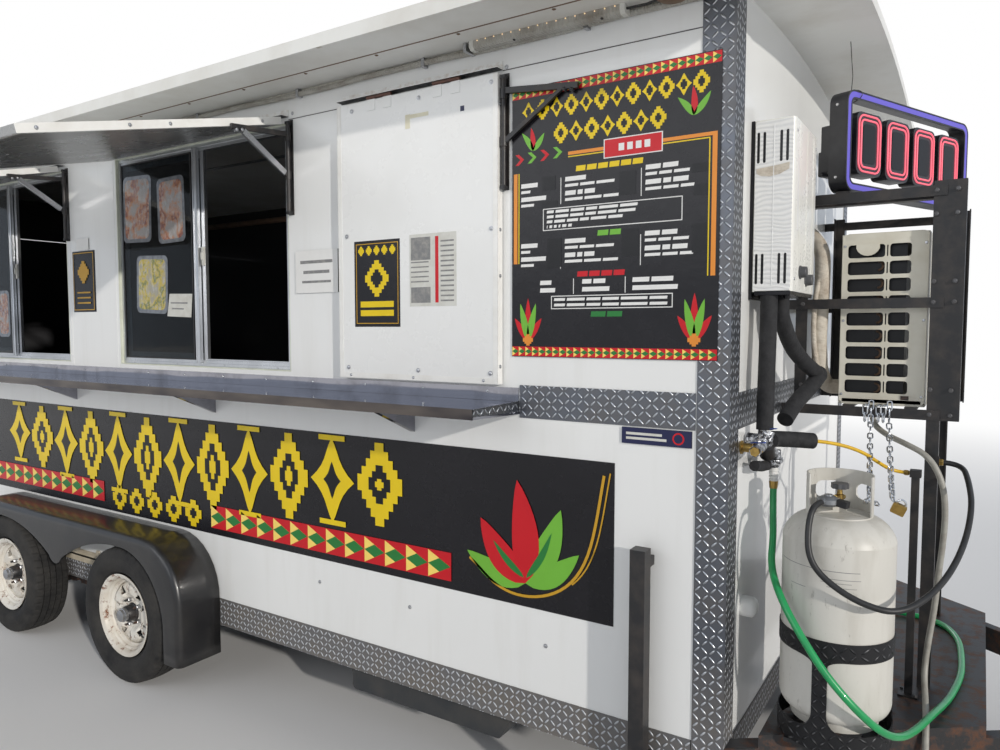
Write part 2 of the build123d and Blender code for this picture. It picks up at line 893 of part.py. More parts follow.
# Tread plate: corner angles, the sill bands, and the band at counter height
band_in = corner_leg + seat
with BuildPart() as tread_plate_trim:
    with BuildSketch(Plane.XY.offset(sill_low)):
        for x, ahead in ((rear_x, -1), (front_x, 1)):
            for y, out in ((side_y, -1), (far_y, 1)):
                tip = (x + ahead * plate, y + out * plate)
                legs = (tip[0] - ahead * corner_leg, tip[1] - out * corner_leg)
                with BuildLine():
                    Polyline(
                        tip,
                        (legs[0], tip[1]),
                        (legs[0], y),
                        (x, y),
                        (x, legs[1]),
                        (tip[0], legs[1]),
                        close=True,
                    )
                make_face()
    extrude(amount=wall_top - sill_low)
    for plane in (facing_service, facing_far):
        with BuildSketch(plane):
            panel(
                sorted((plane.x_dir.X * (rear_x + band_in), plane.x_dir.X * (front_x - band_in))),
                (sill_low, frame_top),
            )
        extrude(amount=plate)
    for plane in (facing_front, facing_rear):
        with BuildSketch(plane):
            panel(
                sorted((plane.x_dir.Y * (side_y + band_in), plane.x_dir.Y * (far_y - band_in))),
                (sill_low, frame_top) if plane is facing_rear else (frame_low, frame_top - seat),
            )
        extrude(amount=plate)
    with BuildSketch(facing_service):
        panel((front_x - mid_band_back, front_x - band_in), (mid_band_low, mid_band_high))
    extrude(amount=plate)
    with BuildSketch(facing_front):
        panel((side_y + band_in, far_y - band_in), (mid_band_low, mid_band_high))
    extrude(amount=plate)
tread_plate_trim.part.label = "tread_plate_trim"
export_step(tread_plate_trim.part, "parts/tread_plate_trim.step")

# Painted sheets fixed to the service wall
with BuildPart() as sign_panels:
    with BuildSketch(facing_service):
        for _, back, front, low, high in signs:
            panel((front_x - back, front_x - front), (low, high))
    extrude(amount=sign_thick)
    with BuildSketch(facing_service.offset(plate)):
        panel((front_x - menu_back[0], front_x - menu_back[1]), menu_z)
    extrude(amount=sign_thick)
sign_panels.part.label = "sign_panels"
export_step(sign_panels.part, "parts/sign_panels.step")

# Counter: a folded sheet with a front lip and an upstand at the wall, and the gussets below it
counter_x = front_x - counter_back[0]
counter_run = counter_back[0] - counter_back[1]
with BuildPart() as service_counter:
    with BuildSketch(Plane((counter_x, 0, 0), x_dir=(0, 1, 0), z_dir=(1, 0, 0))):
        with BuildLine():
            Polyline(
                (side_y, counter_top + splash_high),
                (side_y - plate, counter_top + splash_high),
                (side_y - plate, counter_top),
                (side_y - counter_deep, counter_top),
                (side_y - counter_deep, counter_top - counter_lip),
                (side_y - counter_deep + 15, counter_top - counter_lip),
                (side_y - counter_deep + 15, counter_top - counter_lip + plate),
                (side_y - counter_deep + plate, counter_top - counter_lip + plate),
                (side_y - counter_deep + plate, counter_top - plate),
                (side_y, counter_top - plate),
                close=True,
            )
        make_face()
    extrude(amount=counter_run)
service_counter.part.label = "service_counter"
export_step(service_counter.part, "parts/service_counter.step")

with BuildPart() as counter_brackets:
    for back in gusset_backs:
        with BuildSketch(Plane((front_x - back - gusset_wide / 2, 0, 0), x_dir=(0, 1, 0), z_dir=(1, 0, 0))):
            with BuildLine():
                Polyline(
                    (side_y, counter_top - plate),
                    (side_y - counter_deep + 20, counter_top - plate),
                    (side_y - counter_deep + 20, counter_top - plate - 15),
                    (side_y, counter_top - plate - gusset_high),
                    close=True,
                )
            make_face()
        extrude(amount=gusset_wide)
counter_brackets.part.label = "counter_brackets"
export_step(counter_brackets.part, "parts/counter_brackets.step")

# Window frames of mitred members; the left half of each window is fixed, the sash slides behind it
sash_low = window_low + jamb + seat
sash_high = window_high - jamb - seat
with BuildPart() as window_frames:
    for name, rear_jamb, front_jamb in windows:
        u = (front_x - rear_jamb, front_x - front_jamb)
        inner = (u[0] + jamb, u[1] - jamb)
        middle = (inner[0] + inner[1]) / 2
        with BuildSketch(facing_service):
            for corners in mitred(u, (window_low, window_high), jamb):
                with BuildLine():
                    Polyline(*corners, close=True)
                make_face()
        extrude(amount=-frame_deep)
        # Stile of the fixed half
        block(
            (middle - sash_bar / 2, middle + sash_bar / 2),
            (side_y + 4, side_y + 4 + sash_deep),
            (window_low + jamb, window_high - jamb),
        )
        # The sash: parked behind the fixed half, or shut on the window that its visor covers
        parked = droops[name] < 90
        sash = (inner[0] + seat, middle + sash_shift) if parked else (middle - sash_shift, inner[1] - seat)
        sash_plane = facing_service.offset(-(4 + sash_deep + seat))
        with BuildSketch(sash_plane):
            for corners in mitred(sash, (sash_low, sash_high), sash_bar):
                with BuildLine():
                    Polyline(*corners, close=True)
                make_face()
        extrude(amount=-sash_deep)
window_frames.part.label = "window_frames"
export_step(window_frames.part, "parts/window_frames.step")

with BuildPart() as window_glass:
    for name, rear_jamb, front_jamb in windows:
        inner = (front_x - rear_jamb + jamb, front_x - front_jamb - jamb)
        middle = (inner[0] + inner[1]) / 2
        with BuildSketch(facing_service.offset(-(4 + sash_deep / 2 - pane / 2))):
            panel((inner[0], middle - sash_bar / 2), (window_low + jamb, window_high - jamb))
        extrude(amount=-pane)
        parked = droops[name] < 90
        sash = (inner[0] + seat, middle + sash_shift) if parked else (middle - sash_shift, inner[1] - seat)
        with BuildSketch(facing_service.offset(-(4 + 1.5 * sash_deep + seat - pane / 2))):
            panel(
                (sash[0] + sash_bar, sash[1] - sash_bar),
                (sash_low + sash_bar, sash_high - sash_bar),
            )
        extrude(amount=-pane)
window_glass.part.label = "window_glass"
export_step(window_glass.part, "parts/window_glass.step")

# Hinge fittings on the walls. Over each visor, an angle with two short knuckles under it
axis_y = side_y - visor_out
door_knuckles = (deck_z + 200, (deck_z + door_top) / 2, door_top - 200)
with BuildPart() as hinge_fittings:
    for name, rear_jamb, front_jamb in windows:
        left = front_x - rear_jamb - visor_lap
        right = front_x - front_jamb + visor_lap
        with BuildSketch(Plane((left, 0, 0), x_dir=(0, 1, 0), z_dir=(1, 0, 0))):
            rail_low = visor_hinge_z + knuckle_r + 1
            with BuildLine():
                Polyline(
                    (side_y, rail_low),
                    (axis_y - knuckle_r, rail_low),
                    (axis_y - knuckle_r, rail_low + 3),
                    (side_y - 3, rail_low + 3),
                    (side_y - 3, rail_low + 30),
                    (side_y, rail_low + 30),
                    close=True,
                )
            make_face()
        extrude(amount=right - left)
        for x in (left + knuckle_in, right - knuckle_in):
            with Locations((x, axis_y, visor_hinge_z)):
                Cylinder(knuckle_r, knuckle_long, rotation=(0, 90, 0))
            block(
                (x - knuckle_long / 2, x + knuckle_long / 2),
                (axis_y - 3, axis_y + 3),
                (visor_hinge_z, rail_low),
            )
    # The lugs that hold the bars of the swing brackets
    for name, _, front_jamb in windows:
        x = front_x - front_jamb + visor_lap + swing_gap + bar_r
        for z in (bar_low - lug_thick - seat, bar_high + seat):
            block((x - bar_r, x + bar_r), (side_y - bar_out - bar_r, side_y), (z, z + lug_thick))
    # The rear door's hinge halves on the wall
    for z in door_knuckles:
        leaf_z = (z - seat / 2 - door_knuckle, z - seat / 2)
        with Locations((rear_x - knuckle_r - 2, door_y[1], sum(leaf_z) / 2)):
            Cylinder(knuckle_r, door_knuckle)
        block((rear_x - 4, rear_x), (door_y[1] + swing_gap, door_y[1] + 60), leaf_z)
        block((rear_x - knuckle_r - 4, rear_x - 1), (door_y[1] + 2, door_y[1] + swing_gap + 2), leaf_z)
hinge_fittings.part.label = "hinge_fittings"
export_step(hinge_fittings.part, "parts/hinge_fittings.step")

# Visors: a skin on a channel rim with a cross rib, hung from the hinge line
for name, rear_jamb, front_jamb in windows:
    left = front_x - rear_jamb - visor_lap
    right = front_x - front_jamb + visor_lap
    droop = radians(droops[name])
    lying = Plane((left, axis_y, visor_hinge_z), x_dir=(1, 0, 0), z_dir=(0, -sin(droop), cos(droop)))
    run = right - left
    with BuildPart() as visor:
        with BuildSketch(lying):
            panel((0, run), (-visor_long, -visor_start))
        extrude(amount=-visor_thick)
        with BuildSketch(lying.offset(-visor_skin)):
            for cell in ((visor_rim, run / 2 - visor_rim / 2), (run / 2 + visor_rim / 2, run - visor_rim)):
                panel(cell, (-visor_long + visor_rim, -visor_start - visor_rim))
        extrude(amount=-visor_thick, mode=Mode.SUBTRACT)
        with BuildSketch(lying.offset(-visor_thick)):
            panel((visor_rim, run - visor_rim), (-visor_long + visor_rim, -visor_start - visor_rim))
        extrude(amount=visor_soffit)
        # Hinge leaves and their knuckles, each side of a knuckle of the rail
        for x in (knuckle_in, run - knuckle_in):
            for side in (-1, 1):
                start = x + side * (knuckle_long / 2 + seat)
                with BuildSketch(lying):
                    panel(sorted((start, start + side * knuckle_long)), (-visor_start - 40, 0))
                extrude(amount=1.5)
                with BuildSketch(Plane((left + start, axis_y, visor_hinge_z), z_dir=(side, 0, 0))):
                    Circle(knuckle_r)
                extrude(amount=knuckle_long)
    visor.part.label = f"visor_{name}"
    export_step(visor.part, f"parts/visor_{name}.step")

# Swing brackets beside the visors: a round bar in two lugs, an arm and a brace
for name, _, front_jamb in windows:
    x = front_x - front_jamb + visor_lap + swing_gap + bar_r
    turn = radians(bracket_turns[name])
    outward = (sin(turn), -cos(turn), 0)
    upright = Plane((x, side_y - bar_out, bar_high), x_dir=outward, z_dir=(-cos(turn), -sin(turn), 0))
    with BuildPart() as bracket:
        with Locations((x, side_y - bar_out, (bar_low + bar_high) / 2)):
            Cylinder(bar_r, bar_high - bar_low)
        with BuildSketch(upright.offset(-arm_thick / 2)):
            with BuildLine():
                Polyline(
                    (0, -arm_drop),
                    (arm_long, -arm_drop - arm_fall),
                    (arm_long, -arm_drop - arm_fall - arm_high),
                    (0, -arm_drop - arm_high),
                    close=True,
                )
            make_face()
            with BuildLine():
                Polyline(
                    (0, -arm_drop - brace_low),
                    (brace_out, -arm_drop - arm_high - 10),
                    (brace_out + arm_high, -arm_drop - arm_high - 10),
                    (0, -arm_drop - brace_low - arm_high),
                    close=True,
                )
            make_face()
        extrude(amount=arm_thick)
    bracket.part.label = f"prop_bracket_{name}"
    export_step(bracket.part, f"parts/prop_bracket_{name}.step")

# Rear door with a rim, hinge knuckles and a handle
with BuildPart() as rear_door:
    with BuildSketch(facing_rear):
        panel((-door_y[1], -door_y[0]), (deck_z + swing_gap, door_top - swing_gap))
    extrude(amount=-door_thick)
    with BuildSketch(facing_rear):
        panel((-door_y[1] + 90, -door_y[0] - 90), (deck_z + 120, door_top - 120))
    extrude(amount=6)
    with Locations((rear_x - 20, door_y[0] + 70, door_handle_z)):
        Box(40, 24, 130)
    for z in door_knuckles:
        with Locations((rear_x - knuckle_r - 2, door_y[1], z + door_knuckle / 2 + seat / 2)):
            Cylinder(knuckle_r, door_knuckle)
        block(
            (rear_x - 4, rear_x),
            (door_y[1] - 60, door_y[1]),
            (z + seat / 2, z + seat / 2 + door_knuckle),
        )
rear_door.part.label = "rear_door"
export_step(rear_door.part, "parts/rear_door.step")

# Wheels: a tyre on a pressed steel rim with five raised spokes, and the hub with its grease cap
wheel_places = [
    ("front_service", axle_backs[0], -1),
    ("rear_service", axle_backs[1], -1),
    ("front_far", axle_backs[0], 1),
    ("rear_far", axle_backs[1], 1),
]
half_tread = tyre_wide / 2
tread_edge = half_tread - 14
shoulder_r = tyre_r - 12
bead = bead_half - seat
over_flange = flange_r + seat
for name, back, out in wheel_places:
    side = side_y if out < 0 else far_y
    centre = Plane(
        (front_x - back, side + out * (tyre_inset + half_tread), hub_z), x_dir=(1, 0, 0), z_dir=(0, 0, 1)
    )
    with BuildPart() as tyre:
        with BuildSketch(Plane(centre.origin, x_dir=(0, out, 0), z_dir=(1, 0, 0))) as section:
            with BuildLine():
                Polyline((-bead, over_flange), (-bead, rim_r), (bead, rim_r), (bead, over_flange))
                ThreePointArc((bead, over_flange), (half_tread, wall_r), (tread_edge, shoulder_r))
                ThreePointArc((tread_edge, shoulder_r), (0, tyre_r), (-tread_edge, shoulder_r))
                ThreePointArc((-tread_edge, shoulder_r), (-half_tread, wall_r), (-bead, over_flange))
            make_face()
        revolve(axis=Axis(centre.origin, (0, 1, 0)))
    tyre.part.label = f"tyre_{name}"
    export_step(tyre.part, f"parts/tyre_{name}.step")
    with BuildPart() as rim:
        with BuildSketch(Plane(centre.origin, x_dir=(0, out, 0), z_dir=(1, 0, 0))):
            with BuildLine():
                Polyline(
                    (-bead_half, rim_r - seat),
                    (bead_half, rim_r - seat),
                    (bead_half, flange_r),
                    (bead_half + 8, flange_r),
                    (bead_half + 8, rim_r - 8),
                    (30, rim_r - 34),
                    (-30, rim_r - 34),
                    (-bead_half - 8, rim_r - 8),
                    (-bead_half - 8, flange_r),
                    (-bead_half, flange_r),
                    close=True,
                )
            make_face()
            with BuildLine():
                Polyline(
                    (6, rim_r - 28),
                    (12, rim_r - 28),
                    (30, 100),
                    (6, 74),
                    (6, hub_hole),
                    (0, hub_hole),
                    (0, 76),
                    (20, 104),
                    close=True,
                )
            make_face()
            # Drum, hub and grease cap
            with BuildLine():
                Polyline(
                    (-drum_deep, spindle_r + spindle_play),
                    (-drum_deep, drum_r),
                    (-seat, drum_r),
                    (-seat, hub_hole - 1),
                    (40, 38),
                    (62, 38),
                    (62, 26),
                    (84, 26),
                    (84, 0),
                    (spindle_tip, 0),
                    (spindle_tip, spindle_r + spindle_play),
                    close=True,
                )
            make_face()
        revolve(axis=Axis(centre.origin, (0, 1, 0)))
        face = Plane(centre.origin, x_dir=(1, 0, 0), z_dir=(0, out, 0))
        with BuildSketch(face):
            with PolarLocations(slot_ring, 2 * spoke_count):
                Polygon((0, -slot_half), (slot_half, slot_half), (-slot_half, slot_half))
        extrude(amount=60, mode=Mode.SUBTRACT)
        with BuildSketch(face.offset(4)):
            with PolarLocations(lug_ring, spoke_count):
                RegularPolygon(lug_r, 6)
        extrude(amount=20)
    rim.part.label = f"rim_{name}"
    export_step(rim.part, f"parts/rim_{name}.step")

# Lamps at the rear, a vent on the roof, and the lamp and conduit under the eave
with BuildPart() as rear_lamps:
    with BuildSketch(facing_rear.offset(plate)):
        for out in (-1, 1):
            with Locations((-mid_y + out * (box_width / 2 - lamp_in), lamp_z)):
                SlotOverall(lamp_long, lamp_high)
    extrude(amount=22)
    fillet(rear_lamps.edges().group_by(Axis.X)[0], 5)
    with BuildSketch(facing_rear.offset(plate)):
        for out in (-1, 1):
            with Locations((-mid_y + out * (box_width / 2 - lamp_in), lamp_z)):
                SlotOverall(lamp_long + 14, lamp_high + 14)
    extrude(amount=-plate)
rear_lamps.part.label = "rear_lamps"
export_step(rear_lamps.part, "parts/rear_lamps.step")

vent_x = front_x - vent_back
vent_z = ceiling_crown + roof_thick
curb_low = vent_z - arch_drop(curb_half)
curb_top = vent_z + curb_high
with BuildPart() as roof_vent:
    with BuildSketch(Plane((vent_x - curb_half, 0, 0), x_dir=(0, 1, 0), z_dir=(1, 0, 0))):
        left_v = mid_y - curb_half
        right_v = mid_y + curb_half
        with BuildLine():
            ThreePointArc((left_v, curb_low), (mid_y, vent_z), (right_v, curb_low))
            Polyline((right_v, curb_low), (right_v, curb_top), (left_v, curb_top), (left_v, curb_low))
        make_face()
    extrude(amount=2 * curb_half)
    with Locations((vent_x, mid_y, curb_top + cap_rim / 2)):
        Cylinder(vent_r, cap_rim)
    with Locations((vent_x, mid_y, curb_top + cap_rim + cap_high / 2)):
        Cone(vent_r, vent_r / 2, cap_high)
roof_vent.part.label = "roof_vent"
export_step(roof_vent.part, "parts/roof_vent.step")

cabin_rail_y = side_y + 420
cabin_rail_z = 2300
hanger_top = ceiling_crown - arch_drop(mid_y - cabin_rail_y + 10)
with BuildPart() as lamp_tubes:
    lamp_x = (front_x - eave_lamp_back[0], front_x - eave_lamp_back[1])
    block(lamp_x, (side_y - 62, side_y - 22), (wall_top - 34, wall_top))
    fillet(lamp_tubes.edges().filter_by(Axis.X).group_by(Axis.Z)[0], 12)
    with Locations(((rear_x + front_x) / 2, side_y - conduit_r, wall_top - conduit_r - 2)):
        Cylinder(conduit_r, box_length - 2 * corner_leg - 2 * seat, rotation=(0, 90, 0))
    # The tube inside, hung from the ceiling
    with Locations((front_x - 2600, cabin_rail_y, cabin_rail_z)):
        Cylinder(14, 3600, rotation=(0, 90, 0))
    for x in (front_x - 900, front_x - 4300):
        block((x - 10, x + 10), (cabin_rail_y - 10, cabin_rail_y + 10), (cabin_rail_z, hanger_top))
lamp_tubes.part.label = "lamp_tubes"
export_step(lamp_tubes.part, "parts/lamp_tubes.step")

# Worktop inside along the far wall, with a cupboard below it
with BuildPart() as worktop:
    block(
        (rear_x + 700, front_x - wall - 60),
        (far_y - wall - worktop_deep, far_y - wall),
        (deck_z, worktop_high - 40),
    )
    block(
        (rear_x + 690, front_x - wall - 60),
        (far_y - wall - worktop_deep - 20, far_y - wall),
        (worktop_high - 40, worktop_high),
    )
worktop.part.label = "worktop"
export_step(worktop.part, "parts/worktop.step")

# Gas cylinder with foot ring and collar, in a tray with three uprights and a strap
tank_x = front_x + cylinder_at[0]
tank_y = side_y + cylinder_at[1]
tank_top = cylinder_low + cylinder_high
shoulder = tank_top - 150
with BuildPart() as gas_cylinder:
    with BuildSketch(Plane((tank_x, tank_y, 0), x_dir=(1, 0, 0), z_dir=(0, -1, 0))):
        with BuildLine():
            Polyline((0, cylinder_low + 22), (115, cylinder_low + 22))
            ThreePointArc(
                (115, cylinder_low + 22), (148, cylinder_low + 40), (cylinder_r, cylinder_low + 75)
            )
            Line((cylinder_r, cylinder_low + 75), (cylinder_r, shoulder - 60))
            ThreePointArc(
                (cylinder_r, shoulder - 60), (132, shoulder - 14), (70, shoulder + 12)
            )
            Polyline((70, shoulder + 12), (20, shoulder + 18), (20, shoulder + 34), (0, shoulder + 34))
            Line((0, shoulder + 34), (0, cylinder_low + 22))
        make_face()
    revolve(axis=Axis((tank_x, tank_y, 0), (0, 0, 1)))
    # Foot ring
    with Locations((tank_x, tank_y, cylinder_low + 25)):
        Cylinder(125, 50)
        Cylinder(119, 50, mode=Mode.SUBTRACT)
    with Locations((tank_x, tank_y, cylinder_low + 40)):
        Cylinder(122, 36)
    # Collar, open at the valve's outlet and with hand holes
    with BuildSketch(Plane((tank_x, tank_y, shoulder - 10), z_dir=(0, 0, 1))):
        Circle(collar_r)
        Circle(collar_r - 4, mode=Mode.SUBTRACT)
    extrude(amount=collar_high)
    with BuildSketch(Plane.XY.offset(shoulder + 12)):
        with Locations((tank_x, tank_y)):
            Polygon(
                (0, 0),
                *[(2 * collar_r * cos(radians(a)), 2 * collar_r * sin(radians(a))) for a in collar_gap],
                align=None,
            )
    extrude(amount=collar_high, mode=Mode.SUBTRACT)
    for angle, wide, high, z in collar_openings:
        way = (cos(radians(angle)), sin(radians(angle)), 0)
        with BuildSketch(Plane((tank_x, tank_y, z), x_dir=(-way[1], way[0], 0), z_dir=way)):
            RectangleRounded(wide, high, 20)
        extrude(amount=2 * collar_r, mode=Mode.SUBTRACT)
gas_cylinder.part.label = "gas_cylinder"
export_step(gas_cylinder.part, "parts/gas_cylinder.step")

strap_r = cylinder_r + seat
with BuildPart() as cylinder_holder:
    # Two bars on the platform reach out under the tray
    for x in (tank_x - bearer_apart / 2, tank_x + bearer_apart / 2):
        reach = (tank_y - strap_r + 30, tank_y + strap_r + 120)
        block((x - 20, x + 20), reach, (deck_top, deck_top + bearer_thick))
    with BuildSketch(Plane.XY.offset(deck_top + bearer_thick)):
        with Locations((tank_x, tank_y)):
            Circle(strap_r + plate)
            Circle(strap_r - 40, mode=Mode.SUBTRACT)
    extrude(amount=cylinder_low - deck_top - bearer_thick)
    with BuildSketch(Plane.XY.offset(cylinder_low)):
        with Locations((tank_x, tank_y)):
            Circle(strap_r + plate)
            Circle(strap_r, mode=Mode.SUBTRACT)
    extrude(amount=55)
    with BuildSketch(Plane.XY.offset(strap_z)):
        with Locations((tank_x, tank_y)):
            Circle(strap_r + plate)
            Circle(strap_r, mode=Mode.SUBTRACT)
    extrude(amount=strap_high)
    with BuildSketch(Plane.XY.offset(deck_top + bearer_thick)):
        with Locations((tank_x, tank_y)):
            with PolarLocations(strap_r + plate + 2.5, 3, start_angle=upright_angle):
                Rectangle(6, 42)
    extrude(amount=strap_z + strap_high - deck_top - bearer_thick)
    # The post beside the tray that carries the gas manifold
    with Locations((front_x + post_at[0], side_y + post_at[1], (deck_top + post_high) / 2)):
        Cylinder(13, post_high - deck_top)
    with Locations((front_x + post_at[0], side_y + post_at[1], post_high + 12)):
        Box(34, 34, 24)
cylinder_holder.part.label = "cylinder_holder"
export_step(cylinder_holder.part, "parts/cylinder_holder.step")

# Cylinder valve with its handwheel, the regulator on its outlet, and the fitting at the hose's far end
valve_z = shoulder + 34
valve_high = 56
outlet_z = valve_z + 22
outlet_way = (cos(radians(outlet_angle)), sin(radians(outlet_angle)))
with BuildPart() as gas_fittings:
    with Locations((tank_x, tank_y, valve_z + valve_high / 2)):
        Cylinder(14, valve_high)
    with Locations((tank_x, tank_y, valve_z + valve_high + 6)):
        Cylinder(26, 18)
    with BuildSketch(Plane((tank_x, tank_y, outlet_z), z_dir=(outlet_way[0], outlet_way[1], 0))):
        Circle(10)
    extrude(amount=outlet_end)
    regulator_x = tank_x + outlet_way[0] * regulator_off
    regulator_y = tank_y + outlet_way[1] * regulator_off
    with Locations((regulator_x, regulator_y, outlet_z)):
        Cylinder(regulator_r, 14)
        Cylinder(regulator_r - 5, 30)
    with BuildSketch(Plane((cage_u[1] + seat, side_y + hose_fitting[0], hose_fitting[1]), z_dir=(1, 0, 0))):
        Circle(10)
    extrude(amount=fitting_long)
gas_fittings.part.label = "gas_fittings"
export_step(gas_fittings.part, "parts/gas_fittings.step")

# Water heater on the front wall
with BuildPart() as water_heater:
    block(
        (front_x + heater_off, front_x + heater_off + heater_deep),
        (side_y + heater_y[0], side_y + heater_y[1]),
        (heater_z[0], heater_z[1]),
    )
    fillet(water_heater.edges().filter_by(Axis.Z).group_by(Axis.X)[-1], 14)
    heater_side = Plane(
        (front_x + heater_off + heater_deep / 2, side_y + heater_y[0], 0), x_dir=(1, 0, 0), z_dir=(0, -1, 0)
    )
    with BuildSketch(heater_side):
        for z in (heater_z[0] + 95, heater_z[1] - 80):
            with Locations((-heater_deep / 4, z), (heater_deep / 4, z)):
                with GridLocations(16, 0, 2, 1):
                    SlotOverall(70, 7, rotation=90)
    extrude(amount=-12, mode=Mode.SUBTRACT)
    block(
        (front_x, front_x + heater_off),
        (side_y + heater_y[0] + 40, side_y + heater_y[1] - 40),
        (heater_z[0] + 40, heater_z[1] - 40),
    )
    knobs = Plane((front_x + heater_off + heater_deep, 0, 0), x_dir=(0, 1, 0), z_dir=(1, 0, 0))
    with BuildSketch(knobs):
        for from_side, z in heater_knobs:
            with Locations((side_y + heater_y[0] + from_side, z)):
                Circle(19)
    extrude(amount=22, taper=6)
water_heater.part.label = "water_heater"
export_step(water_heater.part, "parts/water_heater.step")

# Cooling unit: a shell with a side grille of rounded openings and a round fan grille in front
with BuildPart() as cooling_unit:
    block(
        (front_x + unit_x[0], front_x + unit_x[1]),
        (side_y + unit_y[0], side_y + unit_y[1]),
        (unit_z[0], unit_z[1]),
    )
    fillet(cooling_unit.edges().filter_by(Axis.Z), 10)
    side_face = Plane((front_x, side_y + unit_y[0], 0), x_dir=(1, 0, 0), z_dir=(0, -1, 0))
    with BuildSketch(side_face):
        for start, stop in grille_columns:
            with Locations((unit_x[0] + (start + stop) / 2, (unit_z[0] + unit_z[1]) / 2)):
                with GridLocations(0, grille_pitch, 1, grille_rows):
                    RectangleRounded(stop - start, grille_pitch - grille_web, 10)
    extrude(amount=-25, mode=Mode.SUBTRACT)
    fan_y = side_y + sum(unit_y) / 2 + 60
    fan_face = Plane((front_x + unit_x[1], fan_y, sum(unit_z) / 2), x_dir=(0, 1, 0), z_dir=(1, 0, 0))
    with BuildSketch(fan_face):
        for radius in range(60, 250, 24):
            Circle(radius + 14)
            Circle(radius, mode=Mode.SUBTRACT)
        with PolarLocations(0, 4):
            Rectangle(520, 10, mode=Mode.SUBTRACT)
    extrude(amount=-18, mode=Mode.SUBTRACT)
    with BuildSketch(Plane.XY.offset(unit_drain[2])):
        with Locations((front_x + unit_drain[0], side_y + unit_drain[1])):
            Circle(unit_drain[3])
    extrude(amount=unit_z[0] - unit_drain[2])
cooling_unit.part.label = "cooling_unit"
export_step(cooling_unit.part, "parts/cooling_unit.step")

# Angle-iron cage that carries the cooling unit, standing on the platform
with BuildPart() as equipment_cage:
    for x, ahead in ((cage_u[0], 1), (cage_u[1], -1)):
        for y, inward in ((cage_v[0], 1), (cage_v[1], -1)):
            with BuildSketch(Plane.XY.offset(deck_top)):
                with BuildLine():
                    Polyline(
                        (x, y),
                        (x + ahead * angle_leg, y),
                        (x + ahead * angle_leg, y + inward * steel),
                        (x + ahead * steel, y + inward * steel),
                        (x + ahead * steel, y + inward * angle_leg),
                        (x, y + inward * angle_leg),
                        close=True,
                    )
                make_face()
            extrude(amount=cage_top - deck_top)
    # The legs next to the wall stop at the lowest bar, which ends at the wall as the others do
    block(
        (cage_u[0], cage_u[0] + angle_leg),
        cage_v,
        (deck_top, cage_bars[0] - bar_high_side),
        mode=Mode.SUBTRACT,
    )
    for z in cage_bars:
        bar_from = front_x + seat + (plate if z == cage_bars[0] else 0)
        for y, out in ((cage_v[0], -1), (cage_v[1], 1)):
            block((bar_from, cage_u[1]), sorted((y, y + out * steel)), (z - bar_high_side, z))
        block((cage_u[1], cage_u[1] + steel), (cage_v[0], cage_v[1]), (z - bar_high_side, z))
    for y, inward in ((cage_v[0], 1), (cage_v[1], -1)):
        stiff_z = (cage_bars[0] - bar_high_side, cage_top)
        stiff_x = (cage_u[1], cage_u[1] + corner_angle)
        block(stiff_x, sorted((y, y + inward * steel)), stiff_z)
        block((stiff_x[1] - steel, stiff_x[1]), sorted((y, y + inward * corner_angle)), stiff_z)
    # Two feet under the lit sign, one of them on a bar across the top
    foot_low = cage_bars[-1]
    block(cage_u, (cage_v[0] + 60, cage_v[0] + 100), (foot_low - bar_high_side, foot_low))
    for x, y in sign_feet:
        block((front_x + x - 20, front_x + x + 20), (side_y + y - 20, side_y + y + 20), (foot_low, sign_z[0]))
    # Cross bars under the unit, on the lowest bars
    for x in (front_x + unit_x[0] + 40, front_x + unit_x[1] - 40):
        block((x - 20, x + 20), (cage_v[0] - steel, cage_v[1] + steel), (unit_z[0] - steel, unit_z[0]))
equipment_cage.part.label = "equipment_cage"
export_step(equipment_cage.part, "parts/equipment_cage.step")

# Lit sign: a deep rounded frame with a rear rail, turned towards the road
sign_mid = (front_x + (sign_from[0] + sign_to[0]) / 2, side_y + (sign_from[1] + sign_to[1]) / 2)
sign_run = hypot(sign_to[0] - sign_from[0], sign_to[1] - sign_from[1])
sign_dir = ((sign_to[0] - sign_from[0]) / sign_run, (sign_to[1] - sign_from[1]) / sign_run, 0)
sign_mid_z = (sign_z[0] + sign_z[1]) / 2
sign_high = sign_z[1] - sign_z[0]
sign_cell_pitch = sign_run / 4.55
sign_cell_wide = sign_run / 5.6
sign_plane = Plane(
    (sign_mid[0], sign_mid[1], sign_mid_z), x_dir=sign_dir, z_dir=(sign_dir[1], -sign_dir[0], 0)
)
with BuildPart() as lit_sign:
    with BuildSketch(sign_plane):
        RectangleRounded(sign_run, sign_high, 45)
        RectangleRounded(sign_run - 2 * sign_border, sign_high - 2 * sign_border, 30, mode=Mode.SUBTRACT)
        with GridLocations(sign_cell_pitch, 0, 4, 1):
            RectangleRounded(sign_cell_wide, sign_cell_high, 22)
        Rectangle(sign_run - 2 * sign_border + 4, 26)
    extrude(amount=sign_deep / 2, both=True)
lit_sign.part.label = "lit_sign"
export_step(lit_sign.part, "parts/lit_sign.step")


def tube(points, diameter):
    """Round tube along straight runs joined by arcs, in the piece being built; returns its length."""
    places = [Vector(front_x + x, side_y + y, z) for x, y, z in points]
    runs = [b - a for a, b in zip(places, places[1:])]
    bends = []
    for before, after in zip(runs, runs[1:]):
        half_turn = radians(before.get_angle(after)) / 2
        bends.append(bend_share * min(before.length, after.length) / tan(half_turn))
    with BuildLine() as route:
        FilletPolyline(*places, radius=bends)
    with BuildSketch(Plane(places[0], z_dir=runs[0])) as section:
        Circle(diameter / 2)
    sweep(section.sketch, path=route.wire())
    return route.wire().length, [round(bend) for bend in bends]


